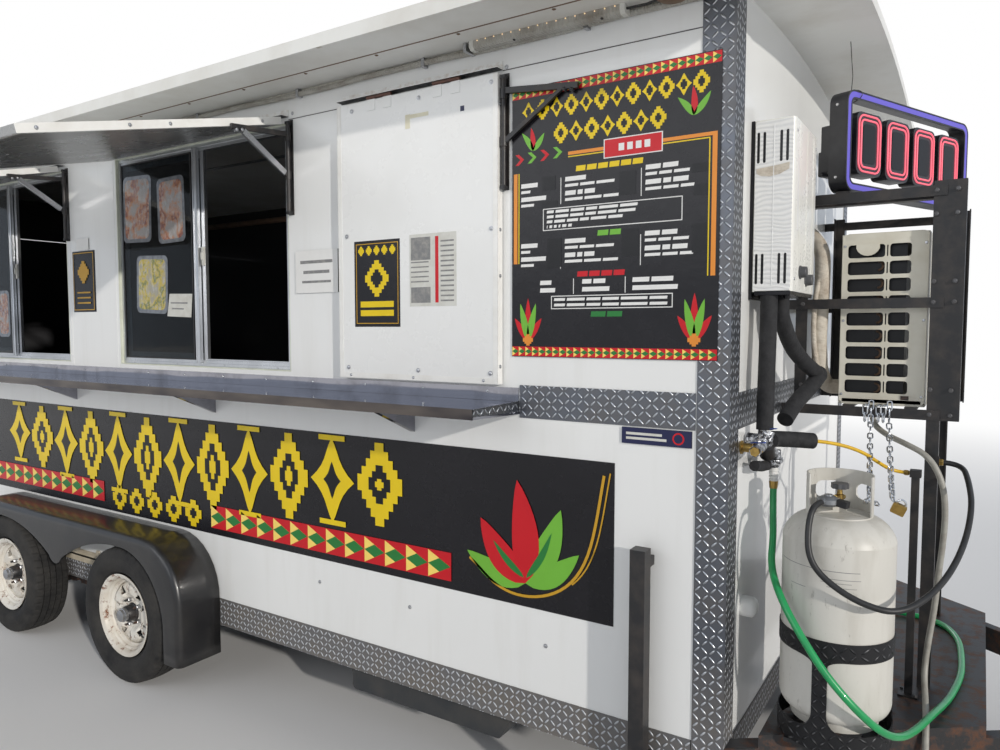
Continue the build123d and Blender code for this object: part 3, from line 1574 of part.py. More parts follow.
# Foam-covered pipes under the water heater and the sleeve that the yellow hose comes out of
with BuildPart() as foam_pipes:
    for points in foam_routes:
        tube(points, foam_d)
    with Locations((front_x + foam_elbow[0], side_y + foam_elbow[1], foam_elbow[2])):
        Sphere(foam_d / 2 + 3)
foam_pipes.part.label = "foam_pipes"
export_step(foam_pipes.part, "parts/foam_pipes.step")

# The wrapped pipes that run from the wall down to the cooling unit, with a thinner tube tied to them
with BuildPart() as line_set:
    for points, diameter in line_routes:
        tube(points, diameter)
line_set.part.label = "line_set"
export_step(line_set.part, "parts/line_set.step")

# Valves at the foot of the pipes and the hose bib
with BuildPart() as pipe_valves:
    for x, y, z, wide, deep, high in valve_blocks:
        with Locations((front_x + x, side_y + y, z)):
            Box(wide, deep, high)
    for x, y, z, radius, long in bib_parts:
        with Locations((front_x + x, side_y + y, z)):
            Cylinder(radius, long)
pipe_valves.part.label = "pipe_valves"
export_step(pipe_valves.part, "parts/pipe_valves.step")

# Threaded fitting on the supply hose's far end, which lies on the platform
end_x, end_y, end_z = supply_points[-1]
before_x, before_y, before_z = supply_points[-2]
end_way = Vector(end_x - before_x, end_y - before_y, end_z - before_z).normalized()
with BuildPart() as hose_end:
    with BuildSketch(Plane(Vector(front_x + end_x, side_y + end_y, end_z) + end_way * seat, z_dir=end_way)):
        RegularPolygon(end_fitting_r, 6)
    extrude(amount=end_fitting_long / 3)
    with BuildSketch(Plane(hose_end.faces().sort_by(Axis.X)[0])):
        Circle(end_fitting_r - 2)
    extrude(amount=end_fitting_long * 2 / 3)
hose_end.part.label = "hose_end"
export_step(hose_end.part, "parts/hose_end.step")

# Hoses, each a tube along its own points
hoses = [
    ("gas_hose", 18, gas_points),
    ("yellow_hose", 12, yellow_points),
    ("drain_hose", 20, drain_points),
    ("supply_hose", 22, supply_points),
]
for name, diameter, points in hoses:
    with BuildPart() as hose:
        length, radii = tube(points, diameter)
    share = hose.part.volume / (pi * diameter**2 / 4 * length)
    print(name, "length", round(length), "radii", radii, "volume share", round(share, 4))
    hose.part.label = name
    export_step(hose.part, f"parts/{name}.step")
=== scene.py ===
"""Looks of the food trailer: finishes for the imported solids, and the pieces that the solids leave out.

Metres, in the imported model's frame: +X forward to the coupler, the service side faces -Y, +Z up.
"Back" is a distance rearward from the front wall's outer face, "ahead" one forward from it, "out" one
outward from the service wall's outer face, and "inward" one the other way.
"""

from math import atan2, cos, hypot, pi, radians, sin

import bmesh
import bpy
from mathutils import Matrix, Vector
from mathutils.geometry import tessellate_polygon


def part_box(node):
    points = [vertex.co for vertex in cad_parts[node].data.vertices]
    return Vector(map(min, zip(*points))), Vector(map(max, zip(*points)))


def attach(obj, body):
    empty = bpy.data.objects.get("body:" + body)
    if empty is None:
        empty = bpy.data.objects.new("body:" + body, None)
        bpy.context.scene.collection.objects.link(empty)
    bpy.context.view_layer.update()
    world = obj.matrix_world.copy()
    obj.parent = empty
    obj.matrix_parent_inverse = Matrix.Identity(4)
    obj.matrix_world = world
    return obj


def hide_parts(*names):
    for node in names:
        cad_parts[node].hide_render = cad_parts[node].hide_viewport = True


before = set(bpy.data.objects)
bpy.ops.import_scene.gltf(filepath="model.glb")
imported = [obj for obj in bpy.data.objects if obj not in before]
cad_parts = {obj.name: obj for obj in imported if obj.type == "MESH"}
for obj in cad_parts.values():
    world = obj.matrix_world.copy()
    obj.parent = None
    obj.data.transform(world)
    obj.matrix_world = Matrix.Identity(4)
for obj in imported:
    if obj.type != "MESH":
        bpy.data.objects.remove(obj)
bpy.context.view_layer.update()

front_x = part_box("wall_front")[1][0]
rear_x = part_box("wall_far")[0][0]
side_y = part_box("wall_service_bands")[0][1]
far_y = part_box("wall_far")[1][1]
mid_y = (side_y + far_y) / 2
wall_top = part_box("wall_far")[1][2]
deck_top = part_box("tongue_deck")[1][2]


def on_service(back, out, z):
    """Point given from the service wall's front edge."""
    return Vector((front_x - back, side_y - out, z))


def on_drawbar(ahead, inward, z):
    """Point given from the corner of the front wall and the service wall."""
    return Vector((front_x + ahead, side_y + inward, z))


# Camera: stands near the service side's front corner, at a standing person's eye height
camera_place = Vector((3.052, -2.9315, 1.75))
camera_forward = Vector((-0.5387, 0.8401, -0.063))
camera_lens = 27.04
camera = bpy.data.objects.new("camera", bpy.data.cameras.new("camera"))
bpy.context.collection.objects.link(camera)
camera.location = camera_place
camera.rotation_euler = camera_forward.to_track_quat("-Z", "Y").to_euler()
camera.data.lens = camera_lens
camera.data.sensor_width = 36
camera.data.clip_end = 200
bpy.context.scene.camera = camera


# Shader arithmetic
class Wire:
    """A socket in a material's nodes, with the arithmetic that adds Math nodes behind it."""

    def __init__(self, tree, socket=None):
        self.tree = tree
        self.socket = socket

    def node(self, kind, settings=None, inputs=None, output=0):
        """A new node: its settings first, a ramp's stops among them, then the values or links it takes."""
        made = self.tree.nodes.new("ShaderNode" + kind)
        for name, value in (settings or {}).items():
            if name == "stops":
                ramp = made.color_ramp
                while len(ramp.elements) < len(value):
                    ramp.elements.new(0.5)
                for element, (position, shade) in zip(ramp.elements, value):
                    element.position = position
                    element.color = (*shade, 1) if isinstance(shade, tuple) else (shade, shade, shade, 1)
            else:
                setattr(made, name, value)
        for name, value in (inputs or {}).items():
            if isinstance(value, Wire):
                self.tree.links.new(value.socket, made.inputs[name])
            else:
                made.inputs[name].default_value = value
        return Wire(self.tree, made.outputs[output])

    def maths(self, operation, *values):
        """A Math node on these values."""
        return self.node("Math", {"operation": operation}, dict(enumerate(values)))

    def __add__(self, other):
        return self.maths("ADD", self, other)

    def __radd__(self, other):
        return self.maths("ADD", other, self)

    def __sub__(self, other):
        return self.maths("SUBTRACT", self, other)

    def __rsub__(self, other):
        return self.maths("SUBTRACT", other, self)

    def __mul__(self, other):
        return self.maths("MULTIPLY", self, other)

    def __rmul__(self, other):
        return self.maths("MULTIPLY", other, self)

    def __truediv__(self, other):
        return self.maths("DIVIDE", self, other)

    def __gt__(self, other):
        return self.maths("GREATER_THAN", self, other)

    def __lt__(self, other):
        return self.maths("LESS_THAN", self, other)

    def __abs__(self):
        return self.maths("ABSOLUTE", self)

    def clamped(self):
        return self.maths("MINIMUM", self.maths("MAXIMUM", self, 0.0), 1.0)

    def most(self, other):
        return self.maths("MAXIMUM", self, other)

    def part(self):
        """The fraction, from 0 to 1."""
        return self.maths("FRACT", self)

    def parts(self):
        """The three numbers of a place or vector."""
        split = self.node("SeparateXYZ", inputs={0: self}).socket.node
        return [Wire(self.tree, output) for output in split.outputs]

    def stretched(self, *scale):
        return self.node("Mapping", inputs={"Vector": self, "Scale": scale})

    def shifted(self, by):
        """This place moved by a vector, or by a value along all three axes."""
        return self.node("VectorMath", {"operation": "ADD"}, {0: self, 1: by})

    def noise(self, scale, detail=3.0, rough=0.5):
        return self.node(
            "TexNoise", inputs={"Vector": self, "Scale": scale, "Detail": detail, "Roughness": rough}
        )

    def ramp(self, *stops):
        """This value through a ramp of (place, grey or colour) stops."""
        return self.node("ValToRGB", {"stops": stops}, {"Fac": self})

    def spots(self, start, full, amount, *grain):
        """Noise of this grain that rises from 0 where it passes start to an amount where it is full."""
        return self.noise(*grain).ramp((start, 0), (full, amount))

    def mix(self, low, high):
        """A colour that goes from low to high as this value goes from 0 to 1."""
        colours = {
            6: low if isinstance(low, Wire) else (*low, 1), 7: high if isinstance(high, Wire) else (*high, 1)
        }
        return self.node("Mix", {"data_type": "RGBA"}, {0: self, **colours}, output=2)

    def bump(self, strength, distance):
        """The shading normal of a surface with this height, in metres times distance."""
        return self.node("Bump", inputs={"Height": self, "Strength": strength, "Distance": distance})


def srgb(red, green, blue):
    """A colour that is written as it shows, from 0 to 255, turned into the linear one that Blender takes."""
    return tuple(
        (c / 255 / 12.92) if c < 11 else ((c / 255 + 0.055) / 1.055) ** 2.4 for c in (red, green, blue)
    )


def finish(name, vary=None, **fixed):
    """A material: fixed values stand on the shader, and vary(place, facing) gives what changes over it."""
    made = bpy.data.materials.new(name)
    made.use_nodes = True
    tree = made.node_tree
    shader = tree.nodes["Principled BSDF"]
    for socket, value in fixed.items():
        socket = shader.inputs[socket.replace("_", " ").title().replace("Ior", "IOR")]
        socket.default_value = (*value, 1) if isinstance(value, tuple) else value
    if vary:
        start = Wire(tree)
        place = start.node("TexCoord", output="Object")
        facing = start.node("TexCoord", output="Normal")
        for socket, wire in vary(place, facing).items():
            tree.links.new(wire.socket, shader.inputs[socket.replace("_", " ").title()])
    return made


def worn(colour, darker, roughness, scale=6.0, spread=0.35, grain=90.0, relief=0.02):
    """A vary function for paint: slow patches towards a darker shade, fine grain in gloss and height."""

    def vary(place, facing):
        patches = place.noise(scale, 5.0, 0.6).ramp((0.42, 0.0), (0.75, spread))
        fine = place.noise(grain, 3.0)
        return {
            "base_color": patches.mix(colour, darker),
            "roughness": (fine * 0.12 + (roughness - 0.06) + patches * 0.15).clamped(),
            "normal": fine.bump(relief, 0.01),
        }

    return vary


def paint(name, colour, darker, *wear, **fixed):
    """A worn finish whose two colours are written as they show."""
    return finish(name, worn(srgb(*colour), srgb(*darker), *wear), **fixed)


# Finishes
def wall_paint(place, facing):
    """White sheet in gloss paint, a little uneven, with rain streaks; the wall's inner face is painted dark
    grey as shade.
    """
    x, y, _ = place.parts()
    # Faces inside the walls are painted dark grey: painted shade of the unlit interior.
    inside = (y > side_y + 0.02) * (y < far_y - 0.02) * (x > rear_x + 0.02) * (x < front_x - 0.02)
    streaks = place.stretched(5, 5, 0.5).spots(0.5, 0.9, 0.3, 2, 5, 0.6)
    swell = place.noise(1.6, 1)
    outer = streaks.mix(wall_white, srgb(196, 194, 186))
    return {
        "base_color": inside.mix(outer, srgb(52, 52, 54)),
        "roughness": 0.22 + streaks * 0.25,
        "normal": swell.bump(0.35, 0.03),
    }


def visor_sheet(place, facing):
    """White outer skin and an underside painted dull grey as shade, with dust."""
    upward = facing.parts()[2]
    # Faces turned downward are painted grey: painted shade on the underside.
    under = (upward * -3.0).clamped()
    knuckle = place.parts()[1] > side_y - 0.0395
    knuckle = knuckle * (place.parts()[1] < side_y - 0.0265) * (place.parts()[2] > 2.6225)
    dust = place.spots(0.4, 0.85, 0.5, 5, 5, 0.65)
    swell = place.noise(2.2, 1)
    outer = (dust * 0.35).mix(wall_white, srgb(204, 203, 196))
    skin = under.mix(outer, dust.mix(srgb(112, 113, 112), srgb(84, 82, 78)))
    return {
        "base_color": knuckle.mix(skin, dust.mix(srgb(96, 62, 50), srgb(62, 42, 36))),
        "roughness": 0.26 + dust * 0.15 + knuckle * 0.3,
        "normal": swell.bump(0.3, 0.015),
    }


def hinge_paint(place, facing):
    """White rails with rusty brown knuckles, black lugs for the brackets, and bare zinc at the rear door; the
    rails' downward faces are painted black as the shade in the gap below them.
    """
    x, _, z = place.parts()
    knuckle = (z > 2.612) * (z < 2.6368) * (x > rear_x + 0.1)
    # Downward faces of the rails are painted near-black: painted shade in the gap under them.
    below = (facing.parts()[2] < -0.5) * (z > 2.62)
    lug = (z < 2.2401) + (z > 2.5999) * (z < 2.6131)
    door = x < rear_x + 0.01
    rust = place.spots(0.45, 0.65, 1, 40, 5, 0.7)
    white = (rust * 0.4).mix(wall_white, srgb(170, 150, 124))
    brown = rust.mix(srgb(92, 58, 46), srgb(58, 40, 34))
    mixed = (lug + below * (1 - knuckle)).clamped().mix(knuckle.mix(white, brown), srgb(32, 32, 34))
    return {
        "base_color": door.mix(mixed, rust.mix(srgb(176, 177, 180), srgb(128, 124, 118))),
        "metallic": door * 0.9,
        "roughness": 0.4 + rust * 0.3,
        "normal": place.noise(80, 3).bump(0.15, 0.002),
    }


def counter_mirror(place, facing):
    """Polished sheet steel, a little wavy, with fine scratches and smears; the lip's outward face has a
    darker, browner colour, a painted dark reflection.
    """
    lines = place.stretched(0.5, 40, 40).noise(9, 4, 0.7)
    smear = place.spots(0.45, 0.8, 1, 7, 5, 0.65)
    swell = place.stretched(1, 2.5, 2.5).noise(2.4, 1)
    # The lip's outward face is given a darker colour: painted dark reflection.
    outward = (facing.parts()[1] * -3.0).clamped() * (place.parts()[2] < 1.4905)
    dull = place.stretched(1, 1, 4).spots(0.35, 0.7, 1, 3, 3)
    lip = dull.mix(srgb(98, 92, 88), srgb(60, 58, 62))
    return {
        "base_color": outward.mix(smear.mix(srgb(150, 150, 158), srgb(112, 111, 116)), lip),
        "roughness": 0.035 + lines * 0.04 + smear * 0.07,
        "normal": swell.bump(0.35, 0.012),
    }


def crinkled_card(pale, warm, deep):
    """A faded card in a creased clear sleeve: three tones in soft blotches, lightened to pale grey along the
    creases as painted glints.
    """
    stops = ((0.42, pale), (0.5, warm), (0.56, deep), (0.62, warm), (0.7, pale))

    def vary(place, facing):
        blotch = place.shifted(place.noise(30, 3) * 0.03).noise(9, 4, 0.6)
        crease_and_glint = place.stretched(1, 1, 0.5).noise(46, 5, 0.75)
        tone = blotch.ramp(*((stop, srgb(*shade)) for stop, shade in stops))
        return {
            # Creases are lightened towards pale grey: painted glints on the sleeve.
            "base_color": (crease_and_glint.ramp((0.5, 0), (0.72, 0.8))).mix(tone, srgb(190, 190, 188)),
            "roughness": crease_and_glint * 0.2 + 0.1,
            "normal": crease_and_glint.bump(0.8, 0.006),
        }

    return vary


def ribbed_plastic(place, facing):
    """Grey conduit with close rings along its length."""
    x = place.parts()[0]
    rings = abs((x * 90).part() - 0.5) * 2
    dirt = place.spots(0.4, 0.75, 0.8, 12, 4)
    return {
        "base_color": dirt.mix(srgb(176, 174, 166), srgb(122, 112, 98)),
        "roughness": 0.5 + dirt * 0.2,
        "normal": rings.bump(0.9, 0.004),
    }


def tread_pattern(place, facing, pitch=0.024):
    """Height, from 0 to 1, of short raised bars that stand alternately to the left and to the right."""
    x, y, z = place.parts()
    end_on, _, upward = [abs(part) > 0.5 for part in facing.parts()]
    u = (x + (y - x) * end_on) / pitch
    v = (z + (y - z) * upward) / pitch
    odd = (u.maths("FLOOR", u) + v.maths("FLOOR", v)).maths(
        "PINGPONG", u.maths("FLOOR", u) + v.maths("FLOOR", v), 1
    )
    local_u = (u.part() - 0.5) * (1 - odd * 2)
    local_v = v.part() - 0.5
    along = (local_u + local_v) * (0.7071 / 0.53)
    aside = (local_u - local_v) * (0.7071 / 0.16)
    return (1 - along * along - aside * aside).clamped()


def tread_metal(place, facing):
    bars = tread_pattern(place, facing)
    height = place.parts()[2]
    low_down = ((0.75 - height) * 3).clamped()
    grime = (place.spots(0.4, 0.72, 0.65, 9, 5, 0.65) + low_down * 0.5).clamped()
    worn_tops = bars.ramp((0, 0), (0.5, 1))
    flat_shade = grime.mix(srgb(104, 107, 113), srgb(112, 107, 101))
    return {
        "metallic": 1 - low_down * 0.75,
        "base_color": worn_tops.mix(flat_shade, srgb(196, 199, 204)),
        "roughness": 0.42 + grime * 0.2 - worn_tops * 0.14,
        "normal": bars.bump(0.9, 0.004),
    }


def tread_black(place, facing):
    bars = tread_pattern(place, facing)
    worn_tops = (bars * place.noise(20, 4)).ramp((0.35, 0), (0.6, 1))
    return {
        "base_color": worn_tops.mix(srgb(30, 30, 32), srgb(104, 104, 106)),
        "roughness": 0.5 - worn_tops * 0.15,
        "normal": bars.bump(0.9, 0.004),
    }


def brushed(colour, along=(0.6, 60, 60)):
    """Steel with fine lines along one axis and cloudy patches."""

    def vary(place, facing):
        lines = place.stretched(*along).noise(9, 4, 0.7)
        cloud = place.noise(5, 4)
        return {
            "base_color": cloud.ramp((0.35, 0), (0.7, 1)).mix(colour, tuple(c * 0.72 for c in colour)),
            "roughness": 0.16 + lines * 0.16 + cloud * 0.1,
            "normal": lines.bump(0.12, 0.002),
        }

    return vary


def rubber_walls(place, facing):
    dust = place.spots(0.35, 0.8, 0.8, 7, 5, 0.7)
    fine = place.noise(160, 2)
    return {
        "base_color": dust.mix(srgb(27, 27, 28), srgb(70, 68, 65)),
        "roughness": 0.72 + dust * 0.2,
        "normal": fine.bump(0.25, 0.002),
    }


def rusty_white(place, facing):
    rust = place.spots(0.56, 0.66, 1, 26, 6, 0.7)
    stain = place.spots(0.4, 0.75, 0.6, 8, 4)
    painted = stain.mix(srgb(216, 213, 205), srgb(168, 152, 130))
    return {
        "base_color": rust.mix(painted, srgb(112, 66, 38)),
        "roughness": 0.38 + rust * 0.45,
        "normal": (place.noise(60, 3) * 0.4 - rust * 0.6).bump(0.3, 0.003),
    }


def cylinder_paint(place, facing):
    scuffs = place.stretched(3, 3, 1).spots(0.6, 0.7, 1, 14, 6, 0.75)
    stain = place.stretched(4, 4, 0.8).spots(0.45, 0.85, 0.7, 4, 4)
    painted = stain.mix(srgb(202, 200, 193), srgb(160, 155, 143))
    return {
        "base_color": (scuffs * 0.6).mix(painted, srgb(112, 106, 98)),
        "roughness": 0.42 + scuffs * 0.3,
        "normal": place.noise(45, 3).bump(0.12, 0.003),
    }


def rusty_black(place, facing):
    rust = place.spots(0.48, 0.66, 1, 18, 6, 0.7)
    fine = place.noise(120, 3)
    return {
        "base_color": (rust * 0.85).mix(srgb(34, 33, 34), srgb(96, 62, 42)),
        "roughness": 0.5 + rust * 0.35,
        "normal": (fine + rust * 0.5).bump(0.25, 0.002),
    }


def foam_cover(place, facing):
    lumps = place.noise(38, 4, 0.6)
    return {
        # The colour follows the lumps, lighter on their tops and darker in the hollows: painted highlight and
        # shade.
        "base_color": lumps.ramp((0.35, 0), (0.7, 1)).mix(srgb(20, 20, 22), srgb(44, 44, 46)),
        "roughness": 0.7 + lumps * 0.25,
        "normal": lumps.bump(0.6, 0.006),
    }


def pressed_waves(place, facing):
    """White enamel pressed in flowing waves, its colour a little darker in the troughs: painted shade."""
    bent = place.stretched(1, 1, 2.6).shifted(place.noise(6, 2) * 0.16)
    waves = bent.node(
        "TexWave", {"bands_direction": "Z"}, {"Vector": bent, "Scale": 9, "Distortion": 3.5, "Detail": 1.0}
    )
    return {
        # Troughs of the relief are painted a little darker: painted shade.
        "base_color": waves.mix(srgb(214, 215, 215), srgb(230, 230, 228)),
        "roughness": waves * 0.1 + 0.25,
        "normal": waves.bump(0.22, 0.004),
    }


def crumpled_tape(place, facing):
    folds = place.node(
        "TexVoronoi", {"feature": "DISTANCE_TO_EDGE"},
        {"Vector": place.shifted(place.noise(40, 2) * 0.02), "Scale": 70.0},
    )
    glints = place.noise(55, 4, 0.7)
    return {
        "base_color": glints.ramp((0.4, 0), (0.6, 1)).mix(srgb(66, 66, 70), srgb(222, 224, 228)),
        "roughness": 0.22 + glints * 0.25,
        "normal": (folds + glints).bump(0.9, 0.006),
    }


def wrapped_tape(place, facing):
    """White cloth tape wound on the slant, creased and stained."""
    x, _, z = place.parts()
    laps = abs((z * 26 + x * 14 + place.noise(9, 2) * 1.4).part() - 0.5)
    stain = place.spots(0.42, 0.7, 0.8, 14, 5, 0.7)
    creases = place.stretched(1, 1, 3).noise(40, 4, 0.7)
    return {
        "base_color": stain.mix(srgb(206, 198, 184), srgb(150, 132, 112)),
        "roughness": 0.6 + stain * 0.2,
        "normal": (creases + laps * 0.6).bump(0.8, 0.006),
    }


def lit_tube(red, green, blue):
    """A glass tube that glows a little unevenly along its length."""
    shade = srgb(red, green, blue)

    def vary(place, facing):
        flow = place.noise(12, 3)
        return {"emission_color": flow.mix(tuple(c * 0.8 for c in shade), shade)}

    return vary


wall_white = srgb(228, 229, 228)
looks = {
    "wall": finish("white_sheet_paint", wall_paint, coat_weight=0.25),
    "roof": paint("roof_paint", (222, 222, 218), (170, 160, 142), 0.4, 3),
    "tread": finish("tread_plate_metal", tread_metal),
    "tread_black": finish("tread_plate_black", tread_black, metallic=0.4),
    "stainless": finish("counter_steel", counter_mirror, metallic=1.0),
    "hinges": finish("hinge_paint", hinge_paint),
    "visor": finish("visor_sheet", visor_sheet),
    "alloy": finish("window_alloy", brushed(srgb(206, 208, 211), (60, 60, 0.6)), metallic=0.9),
    "zinc": finish("zinc_plate", brushed(srgb(186, 187, 190)), metallic=1.0),
    "bolt": paint("dull_bolts", (92, 92, 94), (62, 56, 50), 0.45, 40, 0.6, metallic=0.5),
    "chrome": paint("bright_metal", (210, 212, 215), (150, 152, 156), 0.16, metallic=1.0),
    "black": paint("black_steel_paint", (28, 28, 30), (74, 66, 60), 0.42, 14, 0.6),
    "frame": finish("chassis_black", rusty_black),
    "fender": paint("fender_gloss", (24, 24, 26), (62, 60, 57), 0.33, 5, 0.5, coat_weight=0.2),
    "rubber": finish("tyre_rubber", rubber_walls, specular_ior_level=0.3),
    "rim": finish("rim_paint", rusty_white),
    "cylinder": finish("cylinder_paint", cylinder_paint),
    "enamel": paint("appliance_enamel", (226, 226, 221), (190, 186, 172), 0.28, 7, 0.35),
    "unit": paint("unit_paint", (214, 211, 198), (176, 166, 142), 0.45, 6, 0.5),
    "foam": finish("foam_cover", foam_cover),
    "brass": paint("old_brass", (176, 146, 84), (96, 78, 48), 0.32, 40, 0.8, metallic=1.0),
    "sign": paint("sign_case", (34, 35, 40), (80, 80, 84), 0.38, 9, 0.4),
    "film_black": paint(
        "printed_black", (22, 21, 25), (40, 39, 44), 0.25, 2.5, 0.3, 30, 0.05, specular_ior_level=0.3
    ),
    "floor_inside": paint("floor_inside", (96, 96, 98), (60, 58, 56), 0.5),
    "grey_tank": paint("tank_plastic", (44, 47, 50), (84, 80, 74), 0.5, 6, 0.5),
    "lamp_red": paint("lamp_red", (150, 18, 16), (90, 10, 10), 0.2, 30, 0.3, coat_weight=0.6),
    "hose_black": paint("hose_black", (26, 26, 27), (58, 56, 54), 0.45, 30, 0.4),
    "hose_yellow": paint("hose_yellow", (222, 178, 34), (168, 128, 30), 0.38, 30, 0.4),
    "hose_grey": paint("hose_grey", (158, 156, 148), (112, 106, 96), 0.42, 26, 0.6),
    "hose_green": paint("hose_green", (22, 152, 84), (14, 106, 62), 0.3, 24, 0.4, coat_weight=0.3),
    "glass": finish(
        "window_pane",
        lambda place, facing: {"roughness": place.noise(8, 4).ramp((0.45, 0.02), (0.8, 0.16))},
        base_color=srgb(104, 114, 120),
        transmission_weight=1.0,
        ior=1.22,
    ),
    "heater_relief": finish("pressed_enamel", pressed_waves),
    "tape": finish("cloth_tape", wrapped_tape),
    "tape_silver": finish("foil_tape", crumpled_tape, metallic=0.9),
    "knob": paint("dark_plastic", (70, 71, 74), (104, 103, 100), 0.45, 30, 0.5),
    "regulator": paint("cast_zinc", (138, 141, 144), (96, 96, 96), 0.42, 26, 0.5, metallic=0.7),
    "label": paint("blank_label", (206, 206, 200), (172, 168, 156), 0.5, 22, 0.5),
    "ink_grey": paint("grey_paint_mark", (120, 121, 122), (160, 158, 152), 0.5, 60, 0.8),
    "blue_grip": paint("dipped_blue", (34, 66, 150), (70, 74, 96), 0.4, 40, 0.6),
    "brown_part": paint("copper_bends", (82, 62, 46), (52, 42, 34), 0.6, 40, 0.7, metallic=0.3),
    "tube_violet": finish(
        "tube_violet", lit_tube(104, 94, 200), base_color=srgb(82, 74, 160), emission_strength=0.5
    ),
    "tube_red": finish(
        "tube_red", lit_tube(250, 112, 130), base_color=srgb(206, 84, 100), emission_strength=0.8
    ),
    # Warm beige of the sunlit wall patches behind the wheels: painted sunlight.
    "beige": paint("sunlight_beige_painted", (190, 180, 160), (132, 118, 98), 0.6, 8, 0.6),
    "soffit": paint("soffit_brown", (116, 92, 70), (80, 66, 54), 0.6, 12, 0.5),
    "lining": paint("window_lining", (212, 216, 200), (160, 160, 146), 0.45, 9, 0.5),
    "channel": paint("channel_white", (230, 230, 227), (176, 168, 152), 0.3, 9, 0.3, coat_weight=0.3),
    "sleeve": paint("clear_sleeve", (112, 116, 122), (52, 56, 62), 0.14, 30, 0.9, 18, 0.3, coat_weight=0.6),
    "card": finish(
        "faded_card_warm", crinkled_card((152, 146, 142), (176, 116, 74), (112, 44, 32)), coat_weight=0.6
    ),
    "card_green": finish(
        "faded_card_green", crinkled_card((150, 146, 128), (186, 164, 44), (92, 104, 30)), coat_weight=0.6
    ),
    "cloth": paint("old_tape", (216, 212, 190), (198, 190, 160), 0.6, 30, 0.6),
    "warm_light": finish(
        "warm_light", lit_tube(255, 206, 150), base_color=srgb(250, 226, 190), emission_strength=1.0
    ),
    "conduit": finish("ribbed_conduit", ribbed_plastic),
    "sealant": paint("sealant_bead", (206, 204, 194), (140, 128, 108), 0.5, 30, 0.8),
    "seam": paint("dark_joint", (70, 70, 72), (110, 96, 80), 0.6, 30, 0.6),
}


# Inks on film: one colour each, with a little unevenness
inks = {
    "red": (196, 22, 34),
    "cream": (246, 214, 110),
    "green": (40, 120, 56),
    "yellow": (226, 196, 22),
    "orange": (224, 140, 52),
    "gold": (196, 150, 40),
    "navy": (34, 38, 74),
    "white": (226, 226, 224),
    "leaf": (112, 178, 60),
    "dark": (16, 16, 19),
}
for name, colour in inks.items():
    shade = srgb(*colour)
    ink = worn(shade, tuple(c * 0.8 for c in shade), 0.3, 9, 0.35, 60, 0.02)
    looks[name] = finish("ink_" + name, ink, specular_ior_level=0.3)

# Which solids wear which look
dressing = {
    "wall": "wall_service_bands wall_service_posts wall_far wall_front wall_rear_posts wall_rear_header "
    "rear_door",
    "roof": "roof roof_vent",
    "tread": "tread_plate_trim",
    "stainless": "service_counter counter_brackets worktop",
    "alloy": "window_frames",
    "hinges": "hinge_fittings",
    "black": "prop_bracket_1 prop_bracket_2 prop_bracket_3 equipment_cage tongue_jack stabiliser_legs "
    "coupler",
    "frame": "frame_rails frame_crossmembers tongue_deck axles leaf_springs spring_hangers",
    "tread_black": "cylinder_holder",
    "fender": "fenders",
    "rubber": "tyre_front_service tyre_rear_service tyre_front_far tyre_rear_far",
    "rim": "rim_front_service rim_rear_service rim_front_far rim_rear_far",
    "cylinder": "gas_cylinder",
    "enamel": "water_heater lamp_tubes",
    "unit": "cooling_unit",
    "foam": "foam_pipes",
    "brass": "pipe_valves gas_fittings hose_end",
    "tape": "line_set",
    "visor": "visor_1 visor_2 visor_3",
    "sign": "lit_sign",
    "film_black": "sign_panels",
    "floor_inside": "floor_deck",
    "grey_tank": "waste_tank",
    "lamp_red": "rear_lamps",
    "glass": "window_glass",
}
for look, names in dressing.items():
    for name in names.split():
        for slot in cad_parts[name].material_slots:
            slot.material = looks[look]


# Hoses: smooth lines with the same points as their solids
def hose(name, points, bore, look, node, **facts):
    """A free hose from points in metres: ahead, inward and height, as on_drawbar takes them."""
    curve = bpy.data.curves.new(name, "CURVE")
    curve.dimensions = "3D"
    curve.bevel_depth = bore / 2
    curve.bevel_resolution = 5
    curve.resolution_u = 10
    curve.use_fill_caps = True
    line = curve.splines.new("NURBS")
    line.points.add(len(points) - 1)
    for control, point in zip(line.points, points):
        control.co = (*on_drawbar(*point), 1)
    line.order_u = 3
    line.use_endpoint_u = True
    curve.materials.append(looks[look])
    piece = bpy.data.objects.new(name, curve)
    bpy.context.collection.objects.link(piece)
    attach(piece, "trailer")
    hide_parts(node)
    tuple(on_drawbar(*points[0]))


gas_route = [
    (0.2443, 0.109, 1.236), (0.229, 0.067, 1.236), (0.222, 0.034, 1.17), (0.23, 0.016, 1.09),
    (0.276, 0.012, 1.035), (0.368, 0.014, 0.985), (0.465, 0.045, 0.964), (0.55, 0.185, 1.01),
    (0.602, 0.36, 1.09), (0.62, 0.5, 1.19), (0.606, 0.63, 1.25), (0.584, 0.715, 1.29), (0.531, 0.715, 1.29),
]
yellow_route = [
    (0.17, 0.38, 1.378), (0.22, 0.43, 1.371), (0.3, 0.5, 1.34), (0.355, 0.555, 1.292), (0.392, 0.61, 1.262),
    (0.438, 0.61, 1.262),
]
drain_route = [
    (0.3, 0.77, 1.45), (0.3, 0.77, 1.405), (0.35, 0.735, 1.37), (0.415, 0.675, 1.352), (0.49, 0.64, 1.32),
    (0.533, 0.63, 1.24), (0.545, 0.634, 1.14), (0.54, 0.645, 1.03), (0.53, 0.648, 0.92), (0.522, 0.64, 0.8),
    (0.508, 0.625, 0.69), (0.5, 0.6, 0.59), (0.51, 0.54, 0.524), (0.516, 0.47, 0.514), (0.522, 0.35, 0.514),
    (0.526, 0.346, 0.25),
]
